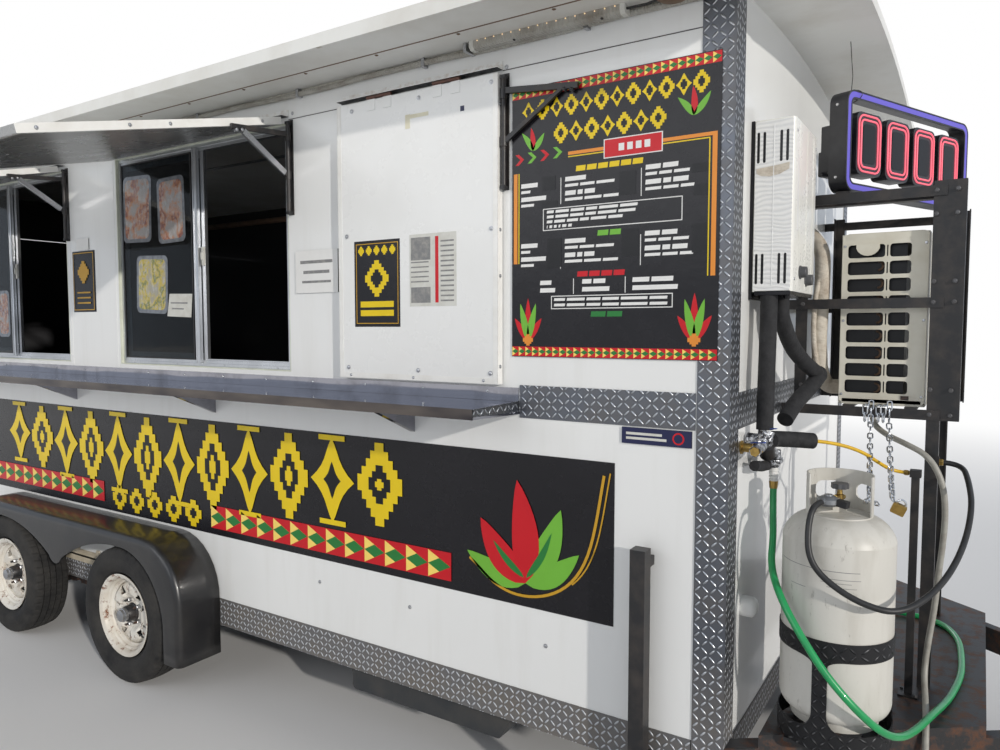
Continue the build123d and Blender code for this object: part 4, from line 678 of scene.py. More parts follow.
supply_route = [
    (0.066, 0.3, 1.241), (0.066, 0.3, 1.165), (0.084, 0.235, 1.08), (0.098, 0.14, 1.01),
    (0.148, 0.055, 0.945), (0.215, 0.012, 0.86), (0.29, -0.004, 0.765), (0.37, 0.008, 0.68),
    (0.43, 0.07, 0.605), (0.47, 0.165, 0.56), (0.503, 0.28, 0.544), (0.534, 0.4, 0.542), (0.56, 0.54, 0.52),
    (0.578, 0.64, 0.511), (0.596, 0.76, 0.511), (0.606, 0.88, 0.511), (0.602, 1.04, 0.511),
    (0.59, 1.2, 0.511), (0.54, 1.34, 0.511), (0.44, 1.4, 0.511), (0.34, 1.39, 0.514),
]
hose("gas_line", gas_route, 0.018, "hose_black", "gas_hose", length=1.293, far_end="object", lay="loose")
hose(
    "yellow_line", yellow_route, 0.012, "hose_yellow", "yellow_hose", length=0.387, far_end="object",
    lay="hanging",
)
hose("drain_line", drain_route, 0.02, "hose_grey", "drain_hose", length=1.551, far_end="bare", lay="hanging")
hose(
    "supply_line",
    supply_route,
    0.022,
    "hose_green",
    "supply_hose",
    length=2.403,
    far_end="fitting",
    lay="loose",
    with_pieces=[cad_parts["hose_end"]],
)


# Mesh work
class Shape:
    """A mesh put together from straight, turned and bent parts; `at` turns its tuples into places."""

    def __init__(self, name, body="trailer", slot="black_steel", at=None):
        self.name = name
        self.body = body
        self.slot = slot
        self.at = at
        self.look = "black"
        self.points = []
        self.faces = []
        self.looks_of_faces = []

    def of(self, look):
        """What follows has this finish."""
        self.look = look
        return self

    def put(self, point):
        """A place: a tuple goes through `at`, a vector stays."""
        return self.at(*point) if self.at and isinstance(point, tuple) else Vector(point)

    def add(self, points, faces):
        start = len(self.points)
        self.points += [self.put(point) for point in points]
        self.faces += [[start + corner for corner in face] for face in faces]
        self.looks_of_faces += [self.look] * len(faces)

    def skin(self, rings, loop=False, capped=True, strip=False):
        """Faces from ring to ring. A loop joins the last ring to the first; a strip's rings stay open."""
        sides, count = len(rings[0]), len(rings)
        faces = []
        for ring in range(count if loop else count - 1):
            near, far = ring * sides, (ring + 1) % count * sides
            for k in range(sides - 1 if strip else sides):
                faces.append([near + k, near + (k + 1) % sides, far + (k + 1) % sides, far + k])
        if capped and not (loop or strip):
            last = (count - 1) * sides
            faces += [list(range(sides))[::-1], [last + k for k in range(sides)]]
        self.add(sum(rings, []), faces)

    def prism(self, outline, depth):
        """A flat outline in space, drawn out by a depth vector."""
        low = [self.put(point) for point in outline]
        self.skin([low, [point + Vector(depth) for point in low]])

    def sheet(self, outline, holes, depth):
        """A flat sheet with holes, drawn out by a depth vector."""
        loops = [[self.put(point) for point in loop] for loop in [outline, *holes]]
        flat = sum(loops, [])
        count = len(flat)
        faces = [list(face) for face in tessellate_polygon(loops)]
        faces += [[count + corner for corner in reversed(face)] for face in faces]
        start = 0
        for loop in loops:
            for i in range(len(loop)):
                a, b = start + i, start + (i + 1) % len(loop)
                faces.append([a, b, count + b, count + a])
            start += len(loop)
        self.add(flat + [point + Vector(depth) for point in flat], faces)

    def block(self, low, high):
        """A box between two opposite corners."""
        corners = list(zip(self.put(low), self.put(high)))
        (x0, y0, z0), (x1, y1, z1) = map(min, corners), map(max, corners)
        base = [Vector(corner) for corner in ((x0, y0, z0), (x1, y0, z0), (x1, y1, z0), (x0, y1, z0))]
        self.prism(base, (0, 0, z1 - z0))

    def bar(self, start, end, wide, thick, flat=(0, 0, 1)):
        """A straight flat bar: its width lies across flat, its thickness along it."""
        start, end = self.put(start), self.put(end)
        along = (end - start).normalized()
        across = along.cross(Vector(flat)).normalized() * wide / 2
        up = across.cross(along).normalized() * thick / 2
        self.prism(
            [start - across - up, start + across - up, start + across + up, start - across + up], end - start
        )

    def turned(self, centre, axis, profile, sides=24, loop=False):
        """A turned part: profile points are (along the axis, radius); a loop closes on itself."""
        centre, axis = self.put(centre), Vector(axis).normalized()
        side = axis.orthogonal().normalized()
        turns = circle(1, sides)
        ways = [side * u + axis.cross(side) * v for u, v in turns]
        self.skin([[centre + axis * along + way * radius for way in ways] for along, radius in profile], loop)

    def rod(self, path, radius, sides=12, closed=False):
        """A round bar along a path of points."""
        path = [self.put(point) for point in path]
        count = len(path)
        side = (path[1] - path[0]).orthogonal().normalized()
        rings = []
        for i, point in enumerate(path):
            before = path[i - 1] if i or closed else point
            after = path[(i + 1) % count] if i < count - 1 or closed else point
            along = (after - before).normalized()
            side = (side - along * side.dot(along)).normalized()
            other = along.cross(side)
            rings.append([point + (side * u + other * v) * radius for u, v in circle(1, sides)])
        self.skin(rings, closed)

    def piece(self, *nodes, soften=0.0, sharp=0.6, thick=0.0):
        """Makes the object; it stands for the named nodes. Soften rounds its edges by that many metres."""
        mesh = bpy.data.meshes.new(self.name)
        mesh.from_pydata(self.points, [], self.faces)
        order = sorted(set(self.looks_of_faces))
        for look in order:
            mesh.materials.append(looks[look])
        mesh.polygons.foreach_set("material_index", [order.index(look) for look in self.looks_of_faces])
        work = bmesh.new()
        work.from_mesh(mesh)
        bmesh.ops.recalc_face_normals(work, faces=work.faces)
        work.to_mesh(mesh)
        work.free()
        mesh.shade_smooth()
        mesh.set_sharp_from_angle(angle=sharp)
        made = bpy.data.objects.new(self.name, mesh)
        bpy.context.collection.objects.link(made)
        if thick:
            made.modifiers.new("sheet", "SOLIDIFY").thickness = thick
        if soften:
            bevel = made.modifiers.new("soften", "BEVEL")
            bevel.width = soften
            bevel.segments = 2
            bevel.limit_method = "ANGLE"
            bevel.harden_normals = True
        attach(made, self.body)
        if nodes:
            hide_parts(*nodes)


def circle(radius, count, mid_u=0.0, mid_v=0.0):
    """Flat points round a middle."""
    turns = [2 * pi * i / count for i in range(count)]
    return [(mid_u + radius * cos(turn), mid_v + radius * sin(turn)) for turn in turns]


def rounded(mid_u, mid_v, wide, high, radius, steps=5):
    """A rounded rectangle as flat points, anticlockwise."""
    points = []
    for turn, way_u, way_v in ((0, 1, 1), (90, -1, 1), (180, -1, -1), (270, 1, -1)):
        for step in range(steps + 1):
            angle = radians(turn + 90 * step / steps)
            u = mid_u + way_u * (wide / 2 - radius) + radius * cos(angle)
            points.append((u, mid_v + way_v * (high / 2 - radius) + radius * sin(angle)))
    return points


def arc(centre, radius, start, end, count):
    """Points on an arc from start to end, in degrees, from ahead to upward."""
    turns = [radians(start + (end - start) * i / (count - 1)) for i in range(count)]
    return [Vector(centre) + Vector((cos(turn), 0, sin(turn))) * radius for turn in turns]


def screw(shape, place, axis, radius=0.007, look="zinc"):
    """A low round head on a washer, with a dimple in it."""
    steps = [(0, 1), (0.0008 / radius, 1), (0.0008 / radius, 0.72), (0.36, 0.6), (0.5, 0.25)]
    shape.of(look).turned(place, axis, [(rise * radius, wide * radius) for rise, wide in steps], 12)


# Wheels: ribbed road tyres on spoked steel rims
tyre_wall = [
    (0.068, 0.2035), (0.074, 0.207), (0.08, 0.216), (0.085, 0.22), (0.0846, 0.2225), (0.09, 0.23),
    (0.0968, 0.245), (0.101, 0.262), (0.1, 0.28), (0.0978, 0.286), (0.0984, 0.2875), (0.0966, 0.292),
    (0.093, 0.302), (0.0915, 0.31), (0.089, 0.32),
]
tyre_steps = 300
groove_deep = 0.008


def tyre_profile():
    """From the outer bead over the tread to the inner one: along the axle, radius, is it tread."""

    def crown(along):
        return 0.3395 - (along / 0.09) ** 2 * 0.009

    half = [(along, radius, False) for along, radius in tyre_wall]
    half += [(0.084, 0.3285, True), (0.078, crown(0.078), True)]
    for outer, inner in ((0.052, 0.045), (0.0185, 0.0125)):
        half.append((outer, crown(outer), True))
        half.append((outer - 0.0007, crown(outer) - groove_deep, True))
        half.append((inner + 0.0007, crown(inner) - groove_deep, True))
        half.append((inner, crown(inner), True))
    return half + [(-along, radius, tread) for along, radius, tread in reversed(half)]


def make_tyre(corner, centre, out):
    """A tyre whose ribs are cut by slanted slits."""
    tyre = Shape(f"tyre_{corner}_ribbed", f"wheel_{corner}", "tyre")
    tyre.look = "rubber"
    profile = tyre_profile()
    rings = []
    for step in range(tyre_steps):
        ring = []
        for along, radius, tread in profile:
            shoulder = tread and abs(along) > 0.05
            if shoulder and step % 6 == 0 or tread and 0.011 < abs(along) < 0.05 and step % 5 == 2:
                radius -= 0.005 if shoulder else 0.003
            turn = 2 * pi * step / tyre_steps + (along * 0.25 if tread else 0)
            ring.append(centre + Vector((cos(turn) * radius, along * out, sin(turn) * radius)))
        rings.append(ring)
    tyre.skin(rings, loop=True, strip=True)
    tyre.piece(f"tyre_{corner}", sharp=0.7)


rim_section = [
    (-0.083, 0.2045), (-0.078, 0.195), (-0.06, 0.182), (-0.03, 0.16), (0.03, 0.158), (0.058, 0.179),
    (0.07, 0.182), (0.0745, 0.188), (0.0755, 0.1985), (0.08, 0.204), (0.083, 0.2045), (0.0835, 0.201),
    (0.08, 0.194), (0.077, 0.185), (0.07, 0.1795), (0.056, 0.177), (0.05, 0.169), (0.038, 0.1665),
    (0.033, 0.154), (-0.03, 0.156), (-0.062, 0.178), (-0.08, 0.19),
]
disc_rings = [
    0.047, 0.056, 0.066, 0.074, 0.08, 0.087, 0.094, 0.101, 0.108, 0.115, 0.122, 0.129, 0.136, 0.144, 0.153
]
disc_steps = 150
spokes = 5
hub_section = [
    (-0.058, 0.023), (-0.058, 0.126), (-0.004, 0.126), (0.000, 0.118), (0.002, 0.046), (0.03, 0.0445),
    (0.034, 0.0405), (0.062, 0.0385), (0.066, 0.036), (0.066, 0.03),
]
cap_section = [
    (0.06, 0.0345), (0.064, 0.0345), (0.066, 0.031), (0.078, 0.03), (0.0795, 0.034), (0.0835, 0.034),
    (0.085, 0.0295), (0.096, 0.028), (0.098, 0.0235), (0.0975, 0.019), (0.0985, 0.017), (0.0985, 0.002),
]


def between(value, low, high):
    """How far a value is from low to high, from 0 to 1."""
    return max(0.0, min(1.0, (value - low) / (high - low)))


def disc_height(radius, turn):
    """How far the rim's disc stands out: five raised spokes between dished windows."""
    base = 0.026 + 0.01 * between(radius, 0.074, 0.1) - 0.012 * between(radius, 0.128, 0.153) ** 2
    nut_ring = 0.004 * max(0.0, 1 - abs(radius - 0.066) / 0.012)
    spoke = between(cos(spokes * turn), -0.45, 0.15)
    reach = between(radius, 0.076, 0.09) * (1 - between(radius, 0.134, 0.15))
    return base - nut_ring + 0.012 * spoke * reach


def make_rim(corner, centre, out):
    rim = Shape(f"rim_{corner}_spoked", f"wheel_{corner}", "rim_white")
    axis = (0, out, 0)
    rim.of("rim").turned(centre, axis, rim_section, 96, loop=True)

    def at(radius, turn, lift):
        return centre + Vector((cos(turn) * radius, out * lift, sin(turn) * radius))

    turns = [2 * pi * i / disc_steps for i in range(disc_steps)]
    grid = [[at(radius, turn, disc_height(radius, turn)) for turn in turns] for radius in disc_rings]
    back = [[point - Vector((0, out * 0.004, 0)) for point in ring] for ring in grid]
    shift = len(disc_rings) * disc_steps
    kept = set()
    for ring, radius in enumerate(disc_rings[:-1]):
        for i in range(disc_steps):
            off = abs(((i + 0.5) / disc_steps * spokes) % 1 - 0.5)
            wide = 0.115 * between(radius, 0.142, 0.104)
            if not (0.1 < radius < 0.137 and abs(off - 0.2) < wide):
                kept.add((ring, i))
    faces = []
    for ring, i in sorted(kept):
        near, far = ring * disc_steps + i, ring * disc_steps + (i + 1) % disc_steps
        above, beyond = near + disc_steps, far + disc_steps
        faces.append([near, far, beyond, above])
        faces.append([near + shift, above + shift, beyond + shift, far + shift])
        sides = {
            (ring, (i - 1) % disc_steps): (near, above),
            (ring, (i + 1) % disc_steps): (beyond, far),
            (ring - 1, i): (far, near),
            (ring + 1, i): (above, beyond),
        }
        faces += [[a, b, b + shift, a + shift] for cell, (a, b) in sides.items() if cell not in kept]
    rim.add(sum(grid, []) + sum(back, []), faces)
    rim.of("black").turned(centre, axis, hub_section, 48)
    rim.of("zinc").turned(centre, axis, cap_section, 40)
    for i in range(spokes):
        nut = at(0.0635, 2 * pi * (i + 0.5) / spokes, 0.02)
        rim.of("zinc").turned(nut, axis, [(0, 0.0118), (0.007, 0.0108), (0.02, 0.0102), (0.0225, 0.0084)], 6)
        rim.of("frame").turned(nut, axis, [(0.02, 0.0058), (0.036, 0.0056), (0.0375, 0.004)], 12)
    rim.piece(f"rim_{corner}", sharp=0.55)


for corner in ("front_service", "rear_service", "front_far", "rear_far"):
    low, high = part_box(f"tyre_{corner}")
    centre = Vector([(a + b) / 2 for a, b in zip(low, high)])
    out = -1 if centre.y < mid_y else 1
    make_tyre(corner, centre, out)
    make_rim(corner, centre, out)


# Fenders: bent sheets with a rolled outer edge
fender_wide = 0.229
fender_low = 0.195
fender_top = 0.755
fender_reach = 0.482
fender_bend = 0.282
fender_roll = 0.03
hub_high = 0.34


def arc_through(first, middle, last, count):
    """Points on the arc through three flat points."""
    (ax, az), (bx, bz), (cx, cz) = first, middle, last
    twice = 2 * (ax * (bz - cz) + bx * (cz - az) + cx * (az - bz))
    squares = [ax * ax + az * az, bx * bx + bz * bz, cx * cx + cz * cz]
    mid_u = (squares[0] * (bz - cz) + squares[1] * (cz - az) + squares[2] * (az - bz)) / twice
    mid_z = (squares[0] * (cx - bx) + squares[1] * (ax - cx) + squares[2] * (bx - ax)) / twice
    radius = hypot(ax - mid_u, az - mid_z)
    start = atan2(az - mid_z, ax - mid_u)
    turn = (atan2(cz - mid_z, cx - mid_u) - start + pi) % (2 * pi) - pi
    angles = [start + turn * i / (count - 1) for i in range(count)]
    return [(mid_u + radius * cos(angle), mid_z + radius * sin(angle)) for angle in angles]


def fender_edge(u, z):
    """The envelope's point on the ray from the hub through a point of the skirt's opening."""
    low, high = 1.0, 3.0
    for _ in range(30):
        share = (low + high) / 2
        at_u, at_z = u * share, (z - hub_high) * share + hub_high
        corner = (-fender_reach + fender_bend - at_u, at_z - fender_top + fender_bend)
        beyond = at_u < -fender_reach or at_z > fender_top
        outside = beyond or min(corner) > 0 and hypot(*corner) > fender_bend
        low, high = (low, share) if outside else (share, high)
    return u * low, (z - hub_high) * low + hub_high


def half_fender():
    """Pairs of points, ahead of the hub and height, from the foot to the middle: envelope and opening."""
    arch = 0.367
    pairs = [((-fender_reach, z), (-arch, z)) for z in (fender_low, 0.25, 0.3)]
    round_arch = arc_through((-arch, hub_high), (-arch * 0.7071, hub_high + arch * 0.7071), (0, 0.69), 15)
    pairs += [(fender_edge(u, z), (u, z)) for u, z in round_arch]
    flank = arc_through((0, 0.69), (0.26, 0.655), (0.515, 0.545), 14)[1:]
    web = arc_through((0.515, 0.545), (0.575, 0.508), (0.635, 0.545), 13)[1:7]
    return pairs + [((u, fender_top), (u, z)) for u, z in flank + web]


def make_fenders():
    fenders = Shape("fenders_rolled", slot="fender_black")
    fenders.look = "fender"
    low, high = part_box("tyre_front_service")
    hub_x = (low[0] + high[0]) / 2
    middle_x = hub_x - 0.575
    half = half_fender()
    for wall_y, out in ((side_y, -1), (far_y, 1)):
        rows = []
        for way, order in ((1, half), (-1, half[-2::-1])):
            for (edge_u, edge_z), (hole_u, hole_z) in order:
                edge = Vector((middle_x + way * (0.575 - edge_u), edge_z))
                hole = Vector((middle_x + way * (0.575 - hole_u), hole_z))
                inward = (hole - edge).normalized()
                row = [(edge, share) for share in (0.004, 0.07, 0.14, fender_wide - fender_roll)]
                for angle in (18, 36, 54, 72, 90):
                    turn = radians(angle)
                    sunk = edge + inward * fender_roll * (1 - cos(turn))
                    row.append((sunk, fender_wide - fender_roll + fender_roll * sin(turn)))
                rolled = edge + inward * fender_roll
                row += [(rolled.lerp(hole, share), fender_wide) for share in (0.33, 0.66, 0.93)]
                row += [(hole, fender_wide - 0.001), (hole, fender_wide - 0.01)]
                rows.append([Vector((at.x, wall_y + out * share, at.y)) for at, share in row])
        fenders.skin(rows, strip=True)
    fenders.piece("fenders", sharp=1.0, thick=0.003)


make_fenders()


def make_painted_sunlit_patches():
    """Beige sheets on the wall behind the wheels, shaped as sunlit patches whose arched tops follow the
    fenders' shadow: painted sunlight; and the sill band between them.
    """
    sunlit_sheets = Shape("wall_patches_painted_sunlight")
    sunlit_sheets.look = "beige"
    for wall_y, inward in ((side_y, 1), (far_y, -1)):
        # Arched tops follow the edge of the fenders' shadow: painted sunlight on the wall.
        y = wall_y - inward * 0.0045
        outline = [(-0.1, 0.46)]
        for hub_x in (-0.455, -1.605):
            for turn in range(0, 181, 15):
                outline.append((hub_x + 0.4 * cos(radians(turn)), 0.5 + 0.235 * sin(radians(turn))))
        outline.append((-1.96, 0.46))
        sunlit_sheets.prism([Vector((x, y, z)) for x, z in outline], (0, inward * 0.003, 0))
        sunlit_sheets.block((-2.02, y, 0.43), (-0.05, y + inward * 0.01, 0.47))
        for x in (-0.06, -1.03, -2.0):
            sunlit_sheets.block((x, y - inward * 0.004, 0.43), (x + 0.03, y, 0.52))
    sunlit_sheets.piece()


make_painted_sunlit_patches()


# Gear on the drawbar
def facing_side(inward, points):
    """Flat (ahead, height) points on an upright plane that faces the service side."""
    return [(u, inward, v) for u, v in points]


def facing_front(ahead, points):
    """Flat (inward, height) points on an upright plane that faces forward."""
    return [(ahead, u, v) for u, v in points]


cylinder_axis = on_drawbar(0.28, 0.207, 0)
cylinder_radius = 0.15875


def make_heater():
    heater = Shape("water_heater_cased", slot="heater_white", at=on_drawbar)
    near, far, back, front, low, high = 0.18, 0.536, 0.01, 0.133, 1.85, 2.39
    middle = (back + front) / 2
    heater.look = "enamel"
    casing = rounded(middle, (near + far) / 2, front - back, far - near - 0.008, 0.014)
    heater.prism([(u, v, low + 0.012) for u, v in casing], (0, 0, high - low - 0.014))
    spots = [(u, v) for v in (low + 0.082, high - 0.086) for u in (-0.043, -0.025, 0.025, 0.043)]
    slots = [rounded(middle + u - 0.004, v, 0.0085, 0.094, 0.0042, 4) for u, v in spots]
    side = rounded(middle, (low + high) / 2 + 0.004, front - back - 0.012, high - low - 0.022, 0.006)
    for inward, deep in ((near + 0.001, 0.004), (far - 0.001, -0.004)):
        heater.of("heater_relief").sheet(
            facing_side(inward, side), [facing_side(inward, slot) for slot in slots], (0, deep, 0)
        )
        # Near-black plugs halfway into the slots: painted shade inside them.
        heater.look = "dark"
        for slot in slots:
            heater.prism(facing_side(inward + deep * 0.5, slot), (0, deep * 0.5, 0))
    heater.of("wall").block(
        (middle - 0.0012, near - 0.0003, low + 0.03), (middle + 0.0012, near + 0.002, high - 0.02)
    )
    heater.look = "enamel"
    for inward in (near + 0.075, near + 0.19, near + 0.29):
        heater.block((front - 0.003, inward, low + 0.02), (front + 0.0015, inward + 0.0035, high - 0.012))
    heater.of("white").block(
        (front - 0.001, near + 0.045, low + 0.2), (front + 0.0012, near + 0.068, high - 0.11)
    )
    heater.of("film_black").block(
        (back + 0.01, near + 0.004, low + 0.001), (front - 0.006, far - 0.004, low + 0.014)
    )
    heater.block((0.0005, near + 0.01, low - 0.012), (0.01, far - 0.01, high))
    for ahead in (0.03, 0.105):
        heater.turned((ahead, near + 0.06, low - 0.01), (0, 0, 1), [(0, 0.01), (0.012, 0.012)], 16)
    heater.look = "tape"
    strip = [
        (0.02, 2.226), (0.034, 2.218), (0.06, 2.214), (0.09, 2.219), (0.117, 2.232), (0.118, 2.252),
        (0.088, 2.247), (0.056, 2.244), (0.02, 2.24),
    ]
    heater.prism([(u, near + 0.001, v) for u, v in strip], (0, -0.0012, 0))
    for from_side, z in ((0.11, 1.925), (0.205, 1.905)):
        centre = on_drawbar(front, near + from_side, z)
        heater.of("knob").turned(
            centre, (1, 0, 0),
            [(0, 0.021), (0.004, 0.021), (0.005, 0.0185), (0.02, 0.0172), (0.022, 0.0155), (0.022, 0.002)],
            28,
        )
        heater.block(centre + Vector((0.004, -0.003, -0.017)), centre + Vector((0.0224, 0.003, 0.017)))
    heater.look = "zinc"
    for z in (low + 0.05, high - 0.04):
        for inward in (near + 0.03, far - 0.03):
            heater.turned((front, inward, z), (1, 0, 0), [(0, 0.005), (0.002, 0.004), (0.0022, 0.001)], 12)
    heater.piece("water_heater", soften=0.0015)


def make_condenser():
    unit = Shape("cooling_unit_cased", slot="unit_white", at=on_drawbar)
    back, front, near, far, low, high = 0.192, 0.468, 0.72, 1.48, 1.475, 2.085
    middle = (near + far) / 2
    unit.look = "unit"
    grilles = []
    for row in range(9):
        v = (low + high) / 2 + (row - 4) * 0.06
        for start, stop in ((0.02, 0.139), (0.154, 0.221)):
            grilles.append(rounded(back + (start + stop) / 2, v, stop - start, 0.046, 0.01, 3))
        grilles.append(rounded(back + 0.1465, v, 0.0045, 0.04, 0.002, 2))
    side = rounded(
        (back + front) / 2, (low + high) / 2 + 0.002, front - back - 0.004, high - low - 0.012, 0.01
    )
    for inward, deep in ((near + 0.001, 0.004), (far - 0.001, -0.004)):
        unit.sheet(facing_side(inward, side), [facing_side(inward, hole) for hole in grilles], (0, deep, 0))
    fan_mid, fan_high = middle + 0.06, (low + high) / 2
    face = rounded(middle, (low + high) / 2, far - near - 0.006, high - low - 0.012, 0.012)
    hole = circle(0.262, 48, fan_mid, fan_high)
    unit.sheet(facing_front(front - 0.003, face), [facing_front(front - 0.003, hole)], (0.003, 0, 0))
    unit.block((back, near + 0.004, low + 0.004), (back + 0.003, far - 0.004, high - 0.004))
    lid = rounded((back + front) / 2, middle, front - back - 0.001, far - near - 0.001, 0.014)
    unit.prism([(u, v, high - 0.022) for u, v in lid], (0, 0, 0.018))
    crown = rounded((back + front) / 2, middle, front - back - 0.03, far - near - 0.03, 0.014)
    unit.prism([(u, v, high - 0.006) for u, v in crown], (0, 0, 0.006))
    base = rounded((back + front) / 2, middle, front - back - 0.002, far - near - 0.002, 0.012)
    unit.prism([(u, v, low) for u, v in base], (0, 0, 0.02))
    for u in (back + 0.002, front - 0.006):
        unit.block((u, near - 0.0005, low + 0.012), (u + 0.004, near + 0.01, high - 0.012))
    # Curved hand grip over the first row of openings
    grip = arc_through(
        (back + 0.048, high - 0.056), (back + 0.085, high - 0.082), (back + 0.122, high - 0.056), 9
    )
    grip = [(back + 0.048, high - 0.042), *grip, (back + 0.122, high - 0.042)]
    unit.prism(facing_side(near, grip), (0, -0.012, 0))
    # A near-black block inside the case, seen through the grilles: painted shade of the interior.
    unit.of("dark").block((back + 0.012, near + 0.03, low + 0.02), (front - 0.07, far - 0.03, high - 0.02))
    unit.look = "brown_part"
    for row in range(8):
        z = low + 0.06 + row * 0.062
        unit.rod(arc(on_drawbar(back + 0.115, near + 0.024, z), 0.016, -90, 90, 9), 0.004, 8)
    unit.look = "unit"
    for ring in range(8):
        unit.rod(
            facing_front(front + 0.0015, circle(0.045 + ring * 0.031, 40, fan_mid, fan_high)), 0.0022, 6,
            closed=True,
        )
    hub = on_drawbar(front - 0.001, fan_mid, fan_high)
    for u, v in circle(1, 16):
        way = Vector((0, u, v))
        unit.rod([hub + way * 0.03, hub + way * 0.264], 0.0022, 6)
    unit.turned(
        (front - 0.004, fan_mid, fan_high), (1, 0, 0),
        [(0, 0.036), (0.006, 0.034), (0.0072, 0.026), (0.0072, 0.002)], 32,
    )
    unit.look = "knob"
    for blade in range(3):
        turn = 2 * pi * blade / 3
        edges = []
        for step in range(9):
            u, v = cos(turn + step * radians(9)), sin(turn + step * radians(9))
            ends = [(fan_mid + reach * u, fan_high + reach * v) for reach in (0.05, 0.24)]
            edges.append(facing_front(front - 0.03 - step * 0.002, ends))
        unit.skin(edges, strip=True)
    unit.look = "zinc"
    for z in (low + 0.035, low + 0.3, high - 0.045):
        for u in (back + 0.01, front - 0.012):
            unit.turned((u, near, z), (0, -1, 0), [(0, 0.005), (0.002, 0.0042), (0.0024, 0.001)], 12)
    unit.of("hose_grey").turned(
        (0.3, 0.77, 1.45), (0, 0, 1), [(0, 0.011), (0.004, 0.0135), (0.026, 0.0135)], 20
    )
    unit.of("frame").block(
        (front - 0.075, near - 0.0012, low + 0.022), (front - 0.05, near + 0.001, low + 0.036)
    )
    unit.piece("cooling_unit", sharp=0.5)


def make_cage_bolts():
    """Bolts, nuts and washers through the cage's corners."""
    bolts = Shape("cage_bolts", slot="hinge_steel", at=on_drawbar)
    bolts.look = "bolt"
    hexagon = [
        (0, 0.008), (0.0015, 0.008), (0.0015, 0.0062), (0.0062, 0.0062), (0.007, 0.005), (0.007, 0.001)
    ]
    for ahead in (0.484, 0.545, 0.07):
        for z in (1.455, 1.54, 1.836, 1.905, 2.13, 2.208):
            bolts.turned((ahead, 0.685, z), (0, -1, 0), hexagon, 12)
            bolts.turned((ahead, 1.515, z), (0, 1, 0), hexagon, 12)
    for inward in (0.72, 1.48):
        for z in (1.455, 1.836, 2.208):
            bolts.turned((0.52, inward, z), (1, 0, 0), hexagon, 12)
    bolts.piece(sharp=0.4)


sign_start = on_drawbar(0.166, 0.735, 2.243)
sign_stop = on_drawbar(0.518, 1.553, 2.601)


def make_lit_sign():
    """An open sign frame with a tube along its front edge and four blank cells edged with double tubes."""
    run = hypot(sign_stop.x - sign_start.x, sign_stop.y - sign_start.y)
    along = Vector((sign_stop.x - sign_start.x, sign_stop.y - sign_start.y, 0)).normalized()
    out = Vector((along.y, -along.x, 0))
    middle = (sign_start + sign_stop) / 2
    high = sign_stop.z - sign_start.z
    half_deep = 0.035
    sign = Shape("lit_sign_tubes", slot="sign_dark")

    def spot(u, v, forward):
        return middle + along * u + Vector((0, 0, v)) + out * forward

    def place(outline, forward):
        return [spot(u, v, forward) for u, v in outline]

    # Rim, lip and inner bead, and the violet tube between them: size, corner and place of each
    for look, grow, bend, shrink, tight, back, deep in (
        ("sign", 0, 0.045, 0.034, 0.032, -half_deep, 2 * half_deep - 0.006),
        ("sign", 0, 0.045, 0.01, 0.041, half_deep - 0.007, 0.0055),
        ("sign", 0.05, 0.026, 0.06, 0.022, half_deep - 0.012, 0.0105),
        ("tube_violet", 0.012, 0.04, 0.048, 0.027, half_deep - 0.008, 0.0055),
    ):
        outer = rounded(0, 0, run - grow, high - grow, bend, 8)
        inner = rounded(0, 0, run - shrink, high - shrink, tight, 8)
        sign.of(look).sheet(place(outer, back), [place(inner, back)], out * deep)
    cell_wide, cell_high = 0.152, 0.212
    for k in range(4):
        mid = (k - 1.5) * run / 4.55
        sign.of("sign").prism(
            place(rounded(mid, 0, cell_wide + 0.014, cell_high + 0.012, 0.028, 6), -half_deep + 0.004),
            out * (2 * half_deep - 0.01),
        )
        sign.of("dark").prism(
            place(rounded(mid, 0, cell_wide - 0.07, cell_high - 0.07, 0.018, 6), half_deep - 0.007),
            out * 0.0022,
        )
        sign.look = "tube_red"
        for shrink in (0.01, 0.042):
            loop = rounded(mid, 0, cell_wide - shrink, cell_high - shrink, 0.036 - shrink / 2.6, 6)
            sign.rod(place(loop, half_deep - 0.0045), 0.0034, 8, closed=True)
    sign.look = "sign"
    for v in (-0.013, 0.013):
        sign.bar(spot(-run / 2 + 0.012, v, -0.024), spot(run / 2 - 0.012, v, -0.024), 0.012, 0.012, out)
    # Power case on the back, and the wire that holds the sign to the roof
    sign.prism(
        place(rounded(-run / 2 + 0.075, -0.02, 0.14, 0.17, 0.008, 3), -half_deep - 0.001), out * -0.034
    )
    sign.prism(place(rounded(-run / 2 + 0.06, -0.07, 0.1, 0.09, 0.006, 3), -half_deep - 0.03), out * -0.018)
    sign.look = "black"
    wire_u = -run / 2 + 0.075
    top = spot(wire_u, high / 2, 0)
    loop = [spot(wire_u + 0.002 * v, high / 2 - 0.012 + 0.022 * u, 0.041 * v) for u, v in circle(1, 18)]
    sign.rod(loop, 0.0016, 6, closed=True)
    roof_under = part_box("wall_front")[1][2] - 0.02
    bends = ((0, 0, 0.008), (0.004, -0.006, 0.06), (-0.004, -0.02, roof_under - top.z))
    sign.rod([top + Vector(bend) for bend in bends], 0.0016, 6)
    sign.look = "zinc"
    for u, v in ((-run / 2 + 0.02, -high / 2 + 0.05), (-run / 2 + 0.02, high / 2 - 0.05)):
        sign.turned(spot(u - 0.0195, v, -0.006), -along, [(0, 0.006), (0.003, 0.005), (0.0032, 0.001)], 12)
    sign.piece("lit_sign", sharp=0.5)


